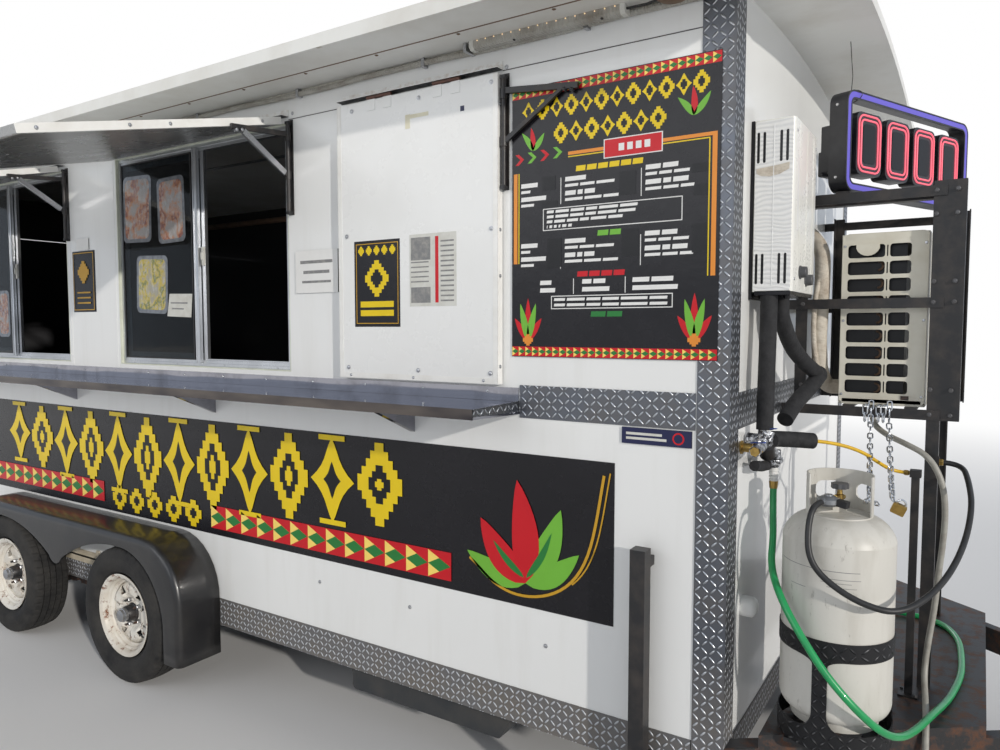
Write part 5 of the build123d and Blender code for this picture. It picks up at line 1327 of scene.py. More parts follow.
def make_chain():
    """Two strands of chain from the cage's lowest bar through the cylinder's collar, and a padlock."""
    chain = Shape("security_chain", slot="hinge_steel")
    chain.look = "chrome"

    def strand(points, sag, pitch=0.0235):
        points = [on_drawbar(*point) for point in points]
        lengths = [(b - a).length for a, b in zip(points, points[1:])]
        total = sum(lengths)
        count = int(total / pitch)
        for k in range(count):
            share = (k + 0.5) / count * total
            leg = 0
            while share > lengths[leg]:
                share -= lengths[leg]
                leg += 1
            start, stop = points[leg], points[leg + 1]
            along = (stop - start).normalized()
            droop = sag[leg] * 4 * (share / lengths[leg]) * (1 - share / lengths[leg])
            mid = start + along * share - Vector((0, 0, droop))
            side = along.orthogonal().normalized()
            other = along.cross(side)
            turn = k % 2 * pi / 2 + 0.5 + k * 0.05
            across = side * cos(turn) + other * sin(turn)
            link = []
            for way in (1, -1):
                for angle in [radians(way * (90 - 30 * i)) for i in range(7)]:
                    bend = along * way * (0.0095 + 0.0075 * cos(angle)) + across * 0.0075 * sin(angle)
                    link.append(mid + bend)
            chain.rod(link, 0.0026, 6, closed=True)

    strand(
        [
            (0.306, 0.682, 1.49), (0.306, 0.676, 1.43), (0.352, 0.292, 1.232), (0.345, 0.262, 1.222),
            (0.372, 0.33, 1.205),
        ],
        (0, 0.035, 0, 0),
    )
    strand([(0.364, 0.682, 1.49), (0.364, 0.676, 1.43), (0.412, 0.33, 1.225)], (0, 0.03))
    for ahead in (0.288, 0.33, 0.346):
        strand([(ahead, 0.676, 1.424), (ahead, 0.676, 1.478), (ahead, 0.696, 1.479)], (0, 0))
    chain.look = "brass"
    lock = on_drawbar(0.428, 0.345, 1.192)
    lean = Vector((0.82, 0.1, -0.35)).normalized()
    rise = Vector((0.35, -0.1, 0.82)).normalized()
    plate_edge = lean.cross(rise).normalized()
    outline = [
        lock + lean * u + rise * v - plate_edge * 0.008 for u, v in rounded(0, 0, 0.04, 0.033, 0.004, 3)
    ]
    chain.prism(outline, plate_edge * 0.016)
    chain.look = "chrome"
    shackle = [
        lock + lean * 0.013 * cos(turn) + rise * (0.016 + 0.016 * sin(turn))
        for turn in [radians(18 * i) for i in range(11)]
    ]
    chain.rod(
        [lock + lean * 0.013 + rise * 0.012] + shackle + [lock - lean * 0.013 + rise * 0.012], 0.0033, 8
    )
    chain.piece(sharp=0.5)


def make_gas_fittings():
    """Cylinder valve, handwheel, outlet, round regulator with its cap, and the fitting on the cage."""
    fittings = Shape("gas_fittings_turned", slot="brass")
    way = Vector((cos(radians(250)), sin(radians(250)), 0))
    side = Vector((-way.y, way.x, 0))
    centre = cylinder_axis + Vector((0, 0, 1.212))
    outlet = cylinder_axis + Vector((0, 0, 1.236))
    fittings.of("brass").turned(
        centre, (0, 0, 1),
        [
            (0, 0.0135), (0.01, 0.0135), (0.012, 0.0115), (0.034, 0.0115), (0.036, 0.0085), (0.056, 0.0065),
            (0.06, 0.0065),
        ],
        24,
    )
    fittings.turned(
        outlet, way,
        [(0.0, 0.009), (0.014, 0.009), (0.016, 0.0125), (0.03, 0.0125), (0.032, 0.008), (0.05, 0.008)], 24,
    )
    fittings.turned(outlet, -way, [(0.0, 0.007), (0.016, 0.007), (0.017, 0.0085), (0.024, 0.008)], 6)
    fittings.look = "knob"
    wheel = []
    for k, (u, v) in enumerate(circle(1, 48)):
        reach = 0.0235 + 0.0018 * cos(pi * k / 3)
        wheel.append(centre + Vector((u * reach, v * reach, 0.053)))
    fittings.prism(wheel, (0, 0, 0.016))
    fittings.look = "regulator"
    body = outlet + way * 0.064
    profile = [
        (-0.015, 0.012), (-0.0145, 0.022), (-0.009, 0.028), (-0.0065, 0.0325), (0.0065, 0.0325),
        (0.009, 0.027), (0.0145, 0.0185), (0.015, 0.012), (0.0195, 0.0115), (0.02, 0.002),
    ]
    fittings.turned(body, (0, 0, 1), profile, 40)
    for k in range(6):
        turn = 2 * pi * k / 6 + 0.3
        bolt = body + Vector((cos(turn), sin(turn), 0)) * 0.0288
        fittings.turned(bolt, (0, 0, 1), [(-0.0078, 0.0026), (0.0078, 0.0026), (0.0088, 0.0018)], 8)
    fittings.turned(
        outlet + way * 0.08, way, [(0, 0.0105), (0.012, 0.0105), (0.013, 0.0088), (0.024, 0.0088)], 20
    )
    fittings.look = "black"
    vent = body + side * 0.03
    fittings.bar(vent, vent + side * 0.03 + Vector((0, 0, -0.004)), 0.022, 0.02)
    fittings.look = "brass"
    cage_face = on_drawbar(0.5155, 0.715, 1.29)
    fittings.turned(
        cage_face, (1, 0, 0),
        [(0, 0.0145), (0.003, 0.0145), (0.0035, 0.0125), (0.0115, 0.0125), (0.0148, 0.01)], 6,
    )
    fittings.of("frame").turned(
        cage_face, (1, 0, 0), [(-0.0003, 0.021), (0.0025, 0.021), (0.0025, 0.008)], 24
    )
    fittings.piece("gas_fittings", sharp=0.5)


def make_cylinder_dress():
    """Weld bead and faint printed lines on the gas cylinder."""
    dress = Shape("cylinder_marks", slot="cylinder_white")

    def band(low, high, start, stop, proud, count=48):
        """A thin strip bent round the cylinder between two directions in degrees."""
        rows = []
        for k in range(count + 1):
            turn = radians(start + (stop - start) * k / count)
            way = Vector((cos(turn), sin(turn), 0))
            section = ((0.0, low), (proud, low + 0.0006), (proud, high - 0.0006), (0.0, high))
            rows.append(
                [cylinder_axis + way * (cylinder_radius + lift) + Vector((0, 0, z)) for lift, z in section]
            )
        dress.skin(rows, strip=True)

    dress.look = "cylinder"
    for z in (0.838, 0.841):
        band(z - 0.0035, z + 0.0035, 0, 360, 0.0016, 96)
    dress.look = "ink_grey"
    band(1.052, 1.054, 205, 300, 0.0004)
    for z, start, stop in ((1.03, 262, 301), (1.019, 262, 292), (1.006, 268, 297), (0.991, 226, 246)):
        band(z, z + 0.0016, start, stop, 0.0003)
    dress.piece(sharp=0.6)


def make_plumbing():
    """Valves, elbows and taped joints at the corner of the front wall."""
    pipes = Shape("taped_valves", slot="brass", at=on_drawbar)
    pipes.of("tape_silver").rod(
        [
            (0.006, 0.19, 1.392), (0.03, 0.19, 1.39), (0.052, 0.188, 1.392), (0.062, 0.186, 1.402),
            (0.066, 0.19, 1.426),
        ],
        0.025, 16,
    )
    pipes.rod(
        [(0.06, 0.172, 1.385), (0.06, 0.14, 1.38), (0.058, 0.1, 1.376), (0.058, 0.078, 1.374)], 0.017, 16
    )
    pipes.rod(
        [(0.06, 0.205, 1.388), (0.064, 0.24, 1.362), (0.066, 0.268, 1.346), (0.066, 0.29, 1.334)], 0.019, 16
    )
    pipes.of("brass").turned(
        (0.006, 0.12, 1.378), (1, 0, 0),
        [(0, 0.021), (0.006, 0.021), (0.008, 0.014), (0.036, 0.014), (0.04, 0.018), (0.052, 0.018)], 20,
    )
    pipes.turned(
        (0.06, 0.112, 1.375), (0, -1, 0),
        [
            (-0.028, 0.013), (0.0, 0.016), (0.01, 0.0165), (0.014, 0.013), (0.034, 0.012), (0.036, 0.015),
            (0.044, 0.015),
        ],
        6,
    )
    pipes.of("tape_silver").turned(
        (0.066, 0.3, 1.352), (0, 0, -1),
        [(0, 0.02), (0.01, 0.022), (0.044, 0.022), (0.05, 0.018), (0.058, 0.018)], 20,
    )
    pipes.of("black").turned(
        (0.062, 0.222, 1.352), (0, 0.55, -1),
        [(-0.028, 0.018), (-0.024, 0.024), (0.012, 0.024), (0.018, 0.02)], 28,
    )
    pipes.of("blue_grip").bar((0.04, 0.19, 1.432), (0.098, 0.176, 1.436), 0.014, 0.003)
    pipes.bar((0.04, 0.11, 1.397), (0.084, 0.092, 1.402), 0.012, 0.003)
    pipes.of("zinc").turned(
        (0.06, 0.11, 1.375), (0, 0, 1), [(0.0, 0.007), (0.022, 0.007), (0.024, 0.009), (0.03, 0.008)], 6
    )
    # Ribbed white connector on the green hose
    pipes.look = "white"
    ribs = [(0.0, 0.0125)]
    for k in range(5):
        z = 0.006 + k * 0.011
        ribs += [(z, 0.0125), (z + 0.0015, 0.015), (z + 0.007, 0.015), (z + 0.0085, 0.0125)]
    pipes.turned((0.066, 0.3, 1.306), (0, 0, -1), ribs, 28)
    pipes.of("brass").turned(
        (0.066, 0.3, 1.25), (0, 0, -1), [(0, 0.014), (0.004, 0.0145), (0.022, 0.013), (0.026, 0.0125)], 24
    )
    # Fitting at the yellow hose's end, the capped outlet low on the wall, and the wrapped pipe
    pipes.turned(
        (0.42, 0.61, 1.262), (1, 0, 0),
        [(0, 0.0085), (0.004, 0.0098), (0.013, 0.0098), (0.015, 0.0075), (0.021, 0.0075)], 6,
    )
    pipes.of("white").turned(
        (0.0, 0.193, 0.851), (1, 0, 0),
        [(0, 0.033), (0.034, 0.033), (0.044, 0.027), (0.05, 0.016), (0.052, 0.002)], 32,
    )
    pipes.of("foam").rod(
        [(0.04, 0.15, 1.318), (0.046, 0.22, 1.306), (0.046, 0.3, 1.298), (0.044, 0.38, 1.292)], 0.0165, 16
    )
    pipes.of("tape_silver").rod(
        [(0.044, 0.376, 1.2922), (0.043, 0.43, 1.289), (0.042, 0.486, 1.287)], 0.0145, 16
    )
    pipes.piece("pipe_valves", sharp=0.6)


def make_cylinder_holder():
    """A rolled sheet with three windows, on two bars, and the post that carries the gas pipe."""
    holder = Shape("cylinder_holder_open", at=on_drawbar)
    holder.look = "tread_black"
    radius, half_bar, corner = cylinder_radius + 0.00045, 0.021, 0.05
    low, high, split = deck_top + 0.012, 0.845, 0.7
    sill, lintel = 0.574, 0.79
    columns = []
    for upright in (23.6, 143.6, 263.6):
        edge = half_bar / radius
        gap = (radians(120) - 2 * edge) * radius
        columns += [(radians(upright) - edge, split, split), (radians(upright) + edge, split, split)]
        bends = [corner * (1 - cos(radians(15 * i))) for i in range(7)]
        bends += [corner + (gap - 2 * corner) * i / 16 for i in range(1, 16)] + [
            gap - bend for bend in bends[::-1]
        ]
        for away in bends:
            rise = corner - min(away, gap - away, corner)
            lift = corner - (corner * corner - rise * rise) ** 0.5
            turn = radians(upright) + edge + min(max(away, 0.00005), gap - 0.00005) / radius
            columns.append((turn, sill + lift, lintel - lift * 0.4))
    for upper in (False, True):
        rings = []
        for turn, under, over in columns:
            way = Vector((cos(turn), sin(turn), 0))
            foot, head = (over, high) if upper else (low, under)
            section = ((radius, foot), (radius + 0.003, foot), (radius + 0.003, head), (radius, head))
            rings.append([cylinder_axis + way * out + Vector((0, 0, z)) for out, z in section])
        holder.skin(rings, loop=True)
    holder.look = "black"
    for ahead in (0.18, 0.38):
        holder.block((ahead - 0.02, 0.078, deck_top), (ahead + 0.02, 0.486, deck_top + 0.012))
    # The post, its foot and its head
    holder.bar((0.455, 0.61, deck_top), (0.455, 0.61, 1.251), 0.024, 0.024, (1, 0, 0))
    holder.block((0.425, 0.58, deck_top), (0.485, 0.64, deck_top + 0.006))
    holder.block((0.438, 0.593, 1.25), (0.472, 0.627, 1.274))
    holder.look = "bolt"
    for way in (-1, 1):
        holder.turned(
            (0.455 + way * 0.022, 0.61 - way * 0.022, deck_top + 0.006), (0, 0, 1),
            [(0, 0.006), (0.005, 0.0055), (0.006, 0.003)], 6,
        )
    holder.piece("cylinder_holder", sharp=0.5)


make_cylinder_holder()
make_heater()
make_condenser()
make_cage_bolts()
make_lit_sign()
make_chain()
make_gas_fittings()
make_cylinder_dress()
make_plumbing()


# Windows, visors, brackets, counter and the trim of the walls
# Left and right edge of each window, back from the front corner, and the line of the visors' hinges
window_edges = ((4.95, 3.66), (3.17, 1.88), (1.545, 0.807))
hinge_out = 0.033
hinge_high = 2.63


def ring_of(left, right, low, high, inset, deep):
    """A rectangle on the service wall, inset from its edges, that many metres inward."""
    left, right, low, high = left - inset, right + inset, low + inset, high - inset
    return [
        on_service(back, -deep, z) for back, z in ((left, low), (right, low), (right, high), (left, high))
    ]


def make_windows():
    """Aluminium windows set back in a pale lining: a fixed pane on the left, a sliding sash behind it."""
    frames = Shape("window_frame_set", slot="window_alloy", at=on_service)
    panes = Shape("window_panes", slot="window_glass", at=on_service)
    low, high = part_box("window_frames")[0][2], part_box("window_frames")[1][2]
    for number, (left, right) in enumerate(window_edges):
        middle = (left + right) / 2

        def ring(look, edges, outer, inner, front, rear):
            frames.look = look
            depth = Vector((0, rear - front, 0))
            frames.sheet(ring_of(*edges, outer, front), [ring_of(*edges, inner, front)[::-1]], depth)

        edges = (left, right, low, high)
        ring("lining", edges, 0.0, 0.006, 0.0, 0.046)
        ring("alloy", edges, 0.006, 0.02, 0.014, 0.046)
        ring("alloy", edges, 0.02, 0.035, 0.019, 0.022)
        ring("alloy", edges, 0.02, 0.035, 0.032, 0.046)
        # Near-black strips in the top and bottom tracks: painted shade in the track recesses.
        frames.look = "dark"
        for z in (low + 0.02, high - 0.035):
            frames.block((left - 0.035, -0.022, z), (right + 0.035, -0.032, z + 0.015))
        frames.look = "alloy"
        for deep in (0.024, 0.03):
            frames.block((left - 0.035, -deep, low + 0.035), (right + 0.035, -deep - 0.0015, low + 0.041))
        # The stile of the fixed half has a raised bead on each edge
        frames.block((middle + 0.016, -0.006, low + 0.02), (middle - 0.016, -0.02, high - 0.02))
        for back in (middle + 0.016, middle - 0.011):
            frames.block((back, -0.003, low + 0.02), (back - 0.005, -0.006, high - 0.02))
        fixed = (left, middle, low, high)
        ring("hose_black", fixed, 0.035, 0.041, 0.01, 0.02)
        panes.of("glass").block((left - 0.037, -0.013, low + 0.037), (middle + 0.016, -0.017, high - 0.037))
        # The sash is parked behind the fixed pane, or shut where the visor covers the window
        sash = (left - 0.0355, middle - 0.045) if number < 2 else (middle + 0.045, right + 0.0355)
        sash_edges = (*sash, low + 0.0355, high - 0.0355)
        ring("alloy", sash_edges, 0.0, 0.026, 0.0235, 0.04)
        ring("alloy", sash_edges, 0.026, 0.032, 0.0265, 0.037)
        ring("hose_black", sash_edges, 0.032, 0.036, 0.0285, 0.035)
        panes.block((sash[0] - 0.03, -0.03, low + 0.065), (sash[1] + 0.03, -0.033, high - 0.065))
        latch = sash[1] + 0.012 if number < 2 else sash[0] - 0.02
        frames.of("label").block((latch + 0.006, -0.0235, 2.044), (latch - 0.012, -0.014, 2.13))
        frames.block((latch + 0.002, -0.014, 2.07), (latch - 0.008, -0.006, 2.104))
        for z in (low + 0.01, high - 0.01):
            for step in range(4):
                back = left - 0.1 - step * (left - right - 0.2) / 3
                screw(frames, (back, -0.014, z + (0.003 if z < 2 else -0.003)), (0, -1, 0), 0.004)
    frames.piece("window_frames", soften=0.0008)
    panes.piece("window_glass")
    cards = Shape("pane_cards", slot="sign_board", at=on_service)
    sheets = [
        (3.126, 2.885, 2.182, 2.515), (2.832, 2.615, 2.165, 2.482), (3.026, 2.765, 1.822, 2.11),
        (4.51, 4.365, 1.694, 1.976),
    ]
    for k, (back, front, foot, top) in enumerate(sheets):
        middle_u, middle_z, wide, tall = (back + front) / 2, (foot + top) / 2, back - front, top - foot
        for look, shrink, out in (("sleeve", 0, -0.0126), ("card", 0.018, -0.0122)):
            outline = rounded(0, 0, wide - 2 * shrink, tall - 2 * shrink, 0.03, 6)
            tilt = (0.03, -0.02, 0.04, 0.0)[k]
            cards.look = look if look == "sleeve" or k != 2 else "card_green"
            places = [(middle_u - u - tilt * v, out, middle_z + v - tilt * u) for u, v in outline]
            cards.prism(places, (0, -0.0003, 0))
    cards.look = "label"
    note = [(2.774, 1.806), (2.584, 1.799), (2.572, 1.912), (2.752, 1.916)]
    cards.prism([(back, -0.0124, z) for back, z in note], (0, -0.0003, 0))
    cards.look = "ink_grey"
    for k, (back, front) in enumerate(((2.744, 2.61), (2.735, 2.64))):
        z = 1.868 - 0.028 * k
        cards.prism(
            [
                (u, -0.0121, v)
                for u, v in ((back, z), (front, z - 0.003), (front, z + 0.004), (back, z + 0.007))
            ],
            (0, -0.0003, 0),
        )
    cards.piece()


def make_visor_trim(number, left, right, droop):
    """White folded channel round the visor's edge, with its screws and the rivets below."""
    body = f"visor_{number}"
    turn = radians(droop)
    reach_way = Vector((0, -cos(turn), -sin(turn)))
    up_way = Vector((0, -sin(turn), cos(turn)))
    hinge = Vector((front_x - left - 0.01, side_y - hinge_out, hinge_high))
    run = left - right + 0.02

    def at(along, reach, lift):
        return hinge + Vector((along, 0, 0)) + reach_way * reach + up_way * lift

    trim = Shape(f"{body}_channel", body, "visor_grey")

    def slab(along, reach, lift):
        """A straight strip between pairs of places in the visor's own directions."""
        corners = [(along[i], reach[k], lift[0]) for i, k in ((0, 0), (1, 0), (1, 1), (0, 1))]
        trim.prism([at(*corner) for corner in corners], up_way * (lift[1] - lift[0]))

    start, stop, deep = 0.0105, 1.0785, -0.0275
    trim.look = "channel"
    for side in ((0.0012, 0.02), (run - 0.02, run - 0.0012)):
        slab(side, (start, stop), (-0.0002, 0.001))
        slab(side, (start, stop), (deep - 0.001, deep + 0.0002))
    for end in ((-0.0008, 0.0004), (run - 0.0004, run + 0.0008)):
        slab(end, (start, stop), (deep - 0.001, 0.001))
    for lift in ((-0.0002, 0.001), (deep - 0.001, deep + 0.0002)):
        slab((0.0202, run - 0.0202), (1.058, stop), lift)
    screws = (0.112, 0.54, 0.7, 1.017)
    for reach in screws:
        screw(trim, at(run + 0.0008, reach, -0.014), (1, 0, 0))
        screw(trim, at(-0.0008, reach, -0.014), (-1, 0, 0))
    count = round(run / 0.3)
    for k in range(count):
        along = 0.06 + (run - 0.12) * k / (count - 1)
        screw(trim, at(along, 1.068, 0.001), up_way, 0.006)
        for reach in (0.022, 1.068):
            screw(trim, at(along, reach, deep - 0.001), -up_way, 0.005)
    # The closed visor shows the heads of its outer screws, the others show a row on the cross rib
    if droop == 90:
        spots = [
            (0.823, 2.593), (1.142, 2.591), (1.476, 2.592), (0.824, 2.094), (0.828, 1.589), (1.152, 1.59),
            (1.51, 2.11), (1.508, 1.592),
        ]
        for back, z in spots:
            screw(trim, at(left + 0.01 - back, hinge_high - z, 0.001), up_way, 0.009)
        trim.look = "cloth"
        edge = left + 0.01
        slab((edge - 1.207, edge - 1.184), (0.092, 0.143), (0, 0.0006))
        slab((edge - 1.184, edge - 1.098), (0.094, 0.108), (0, 0.0006))
        trim.look = "navy"
        slab((edge - 0.955, edge - 0.938), (0.098, 0.116), (0, 0.0006))
    else:
        for k in range(5):
            for lift, way in ((0.0, up_way), (deep, -up_way)):
                screw(trim, at(run / 2, 0.08 + k * 0.24, lift), way, 0.006)
    trim.piece()


def make_bracket_fittings(number, right, turned):
    """A black strip on the wall behind the bracket's bar, and a bright sleeve along the brace."""
    centre = front_x - right + 0.01 + 0.005 + 0.009
    strip = Shape(f"bracket_strip_{number}")
    strip.of("black").block((centre - 0.017, side_y, 2.226), (centre + 0.013, side_y - 0.0035, 2.622))
    for z in (2.262, 2.4, 2.575):
        screw(strip, (centre - 0.002, side_y - 0.0035, z), (0, -1, 0), 0.006, "black")
    strip.piece(soften=0.0006)
    body = f"prop_bracket_{number}"
    out_way = Vector((sin(radians(turned)), -cos(radians(turned)), 0))
    aside = Vector((-out_way.y, out_way.x, 0))
    root = Vector((centre, side_y - 0.018, 0))
    joints = Shape(f"bracket_joints_{number}", body, "black_steel")

    def at(reach, z, off=0.0):
        return root + out_way * reach + Vector((0, 0, z)) + aside * off

    if turned == 0:
        joints.of("zinc").bar(at(0.02, 2.396), at(0.228, 2.524), 0.024, 0.0136, aside)
    joints.look = "black"
    for z in (2.372, 2.532):
        joints.turned((centre, side_y - 0.018, z), (0, 0, 1), [(0, 0.0125), (0.036, 0.0125)], 20)
    for reach, z in ((0.236, 2.527), (0.262, 2.522)):
        for way in (-1, 1):
            screw(joints, at(reach, z, way * 0.0062), aside * way, 0.007, "zinc" if turned == 0 else "black")
    joints.piece(soften=0.0006)


def make_counter_ends():
    """End caps of the counter: tread plate with a bright strip under it, and screws along the upstand."""
    ends = Shape("counter_ends", slot="stainless")
    top, low = 1.49, 1.455
    for back, way in ((0.73, 1), (5.1, -1)):
        x = front_x - back
        ends.look = "tread"
        cap = [(0.0, top + 0.004), (0.2885, top - 0.0005), (0.2885, low + 0.004), (0.0, low - 0.001)]
        ends.prism([Vector((x, side_y - out, z)) for out, z in cap], (way * 0.0016, 0, 0))
        ends.look = "stainless"
        foot = [(0.0, low + 0.001), (0.2885, low + 0.01), (0.2885, low + 0.0005), (0.0, low - 0.007)]
        ends.prism([Vector((x + way * 0.0016, side_y - out, z)) for out, z in foot], (way * 0.0012, 0, 0))
        ends.block((x - way * 0.004, side_y - 0.2895, low), (x + way * 0.0016, side_y - 0.2845, top - 0.001))
    for k in range(15):
        screw(ends, on_service(0.86 + k * 0.295, 0.003, 1.523), (0, -1, 0), 0.005)
    ends.piece()


def make_eave():
    """Under the eave: the lamp with its end caps, the grey conduit on straps, and the soffit's seams."""
    eave = Shape("eave_lamp", slot="lamp_white")
    left, right = front_x - 0.893, front_x - 0.325
    section = [(-0.019, 0.0), (-0.019, 0.02), (-0.01, 0.028), (0.012, 0.028), (0.019, 0.018), (0.019, 0.0)]
    for start, stop, grow, look in (
        (left, right, 1, "conduit"), (left - 0.004, left + 0.012, 1.08, "label"),
        (right - 0.012, right + 0.004, 1.08, "label"),
    ):
        eave.look = look
        eave.prism(
            [Vector((start, side_y - 0.042 + u * grow, wall_top - v * grow)) for u, v in section],
            (stop - start, 0, 0),
        )
    eave.look = "warm_light"
    for k in range(16):
        spot = (left + 0.03 + k * 0.034, side_y - 0.0615, wall_top - 0.004)
        eave.turned(spot, (0, -1, -0.3), [(-0.001, 0.0022), (0.0008, 0.002), (0.0016, 0.001)], 8)
    for back in (0.72, 0.4):
        screw(eave, (front_x - back, side_y - 0.052, wall_top - 0.0275), (0, -0.5, -1), 0.005, "black")
    # A hook and a short cable beside the lamp, and the round outlet box at its front end
    eave.of("zinc").block(
        (left - 0.03, side_y - 0.001, wall_top - 0.03), (left - 0.018, side_y - 0.06, wall_top - 0.001)
    )
    eave.of("soffit").turned(
        (front_x - 0.17, side_y - 0.058, wall_top), (0, 0, -1),
        [(0, 0.044), (0.01, 0.044), (0.01, 0.05), (0.016, 0.05), (0.022, 0.04), (0.026, 0.012)], 28,
    )
    eave.of("hose_black").rod(
        [
            (right, side_y - 0.045, wall_top - 0.012), (right + 0.07, side_y - 0.05, wall_top - 0.016),
            (right + 0.12, side_y - 0.056, wall_top - 0.012),
        ],
        0.004, 8,
    )
    # The cabin rail on its hangers, and the thin bar above it
    rail_z, rail_y = 2.3, side_y + 0.42
    eave.of("brown_part").turned((front_x - 4.4, rail_y, rail_z), (1, 0, 0), [(0, 0.0138), (3.6, 0.0138)], 20)
    eave.look = "black"
    for back in (0.9, 4.3):
        eave.rod([(front_x - back, rail_y, rail_z + 0.012), (front_x - back, rail_y, 2.772)], 0.008)
    eave.of("zinc").rod([(front_x - 4.36, rail_y, 2.615), (front_x - 0.84, rail_y, 2.615)], 0.007)
    path = []
    for k in range(121):
        x = rear_x + 0.06 + (front_x - rear_x - 0.12) * k / 120
        sag = 0.006 * (1 + sin(k * 0.31)) / 2
        path.append((x, side_y - 0.013 - 0.002 * sin(k * 0.9), wall_top - 0.015 - sag))
    eave.of("conduit").rod(path, 0.0105, 12)
    eave.look = "zinc"
    for k in range(9):
        x = rear_x + 0.35 + k * 0.66
        eave.block((x - 0.007, side_y, wall_top - 0.034), (x + 0.007, side_y - 0.026, wall_top - 0.001))
    eave.piece("lamp_tubes", soften=0.001)
    seam = Shape("soffit_seams", slot="roof_white")
    seam.look = "soffit"
    for y in (side_y - 0.15, far_y + 0.15):
        seam.block((rear_x - 0.28, y - 0.003, wall_top - 0.0012), (front_x + 0.28, y + 0.003, wall_top))
        for k in range(17):
            spot = (rear_x + 0.1 + k * 0.365, y + (0.016 if y < 0 else -0.016), wall_top)
            screw(seam, spot, (0, 0, -1), 0.007, "soffit")
    # Joints of the gutter, and a bead of sealant where the roof meets the walls
    seam.look = "sealant"
    for x in (front_x - 3.95, front_x - 1.35):
        for y, way in ((side_y - 0.33, -1), (far_y + 0.33, 1)):
            low, high = wall_top - 0.0122, wall_top + 0.0355
            seam.block((x - 0.012, y - way * 0.001, low), (x + 0.012, y - way * 0.012, high))
    for y in (side_y - 0.001, far_y + 0.001):
        seam.rod([(rear_x + 0.05, y, wall_top - 0.003), (front_x - 0.05, y, wall_top - 0.003)], 0.004, 8)
    seam.piece()


def make_wall_trim():
    """Joints, lap strips and fixings of the sheets on the service wall and the far wall."""
    trim = Shape("wall_fixings", slot="wall_white")
    for back, z in (
        (1.846, 2.649), (1.558, 2.644), (0.782, 2.645), (1.726, 0.663), (1.23, 0.654), (0.62, 0.64),
        (2.32, 2.66),
    ):
        screw(trim, on_service(back, 0, z), (0, -1, 0), 0.008)
    trim.of("seam").block(on_service(1.87, 0, 2.6245), on_service(1.56, 0.0012, 2.6275))
    trim.block(on_service(0.797, 0, 2.6335), on_service(0.055, 0.0012, 2.6365))
    for back in (5.02, 3.64, 3.2):
        trim.of("wall").block(on_service(back + 0.012, 0, 1.545), on_service(back - 0.012, 0.0012, 2.6))
        for k in range(6):
            screw(trim, on_service(back, 0.0012, 1.6 + k * 0.19), (0, -1, 0), 0.0045, "wall")
    # Far side: five sheets with lapped joints
    for back in (0.05, 1.22, 2.44, 3.66, 4.88, 6.05):
        x = front_x - back
        if 0.1 < back < 6:
            trim.of("seam").block((x - 0.0015, far_y, 0.48), (x + 0.0015, far_y + 0.0008, wall_top - 0.01))
        for side in (-1, 1):
            if 0.1 < back + side * 0.02 < 6.0:
                for k in range(15):
                    z = 0.52 + k * 0.154
                    if not (1.86 < back < 5.1 and z < 0.8):
                        screw(trim, (x - side * 0.018, far_y, z), (0, 1, 0), 0.0045, "wall")
    trim.piece()


make_windows()
for number, (left, right) in enumerate(window_edges, 1):
    open_wide = number < 3
    make_visor_trim(number, left, right, 14 if open_wide else 90)
    make_bracket_fittings(number, right, 0 if open_wide else 90)
make_counter_ends()
make_eave()
make_wall_trim()


# Printed panels: traditional border strips and generic shapes, with every line of text left blank
ink_layer = 0.0003


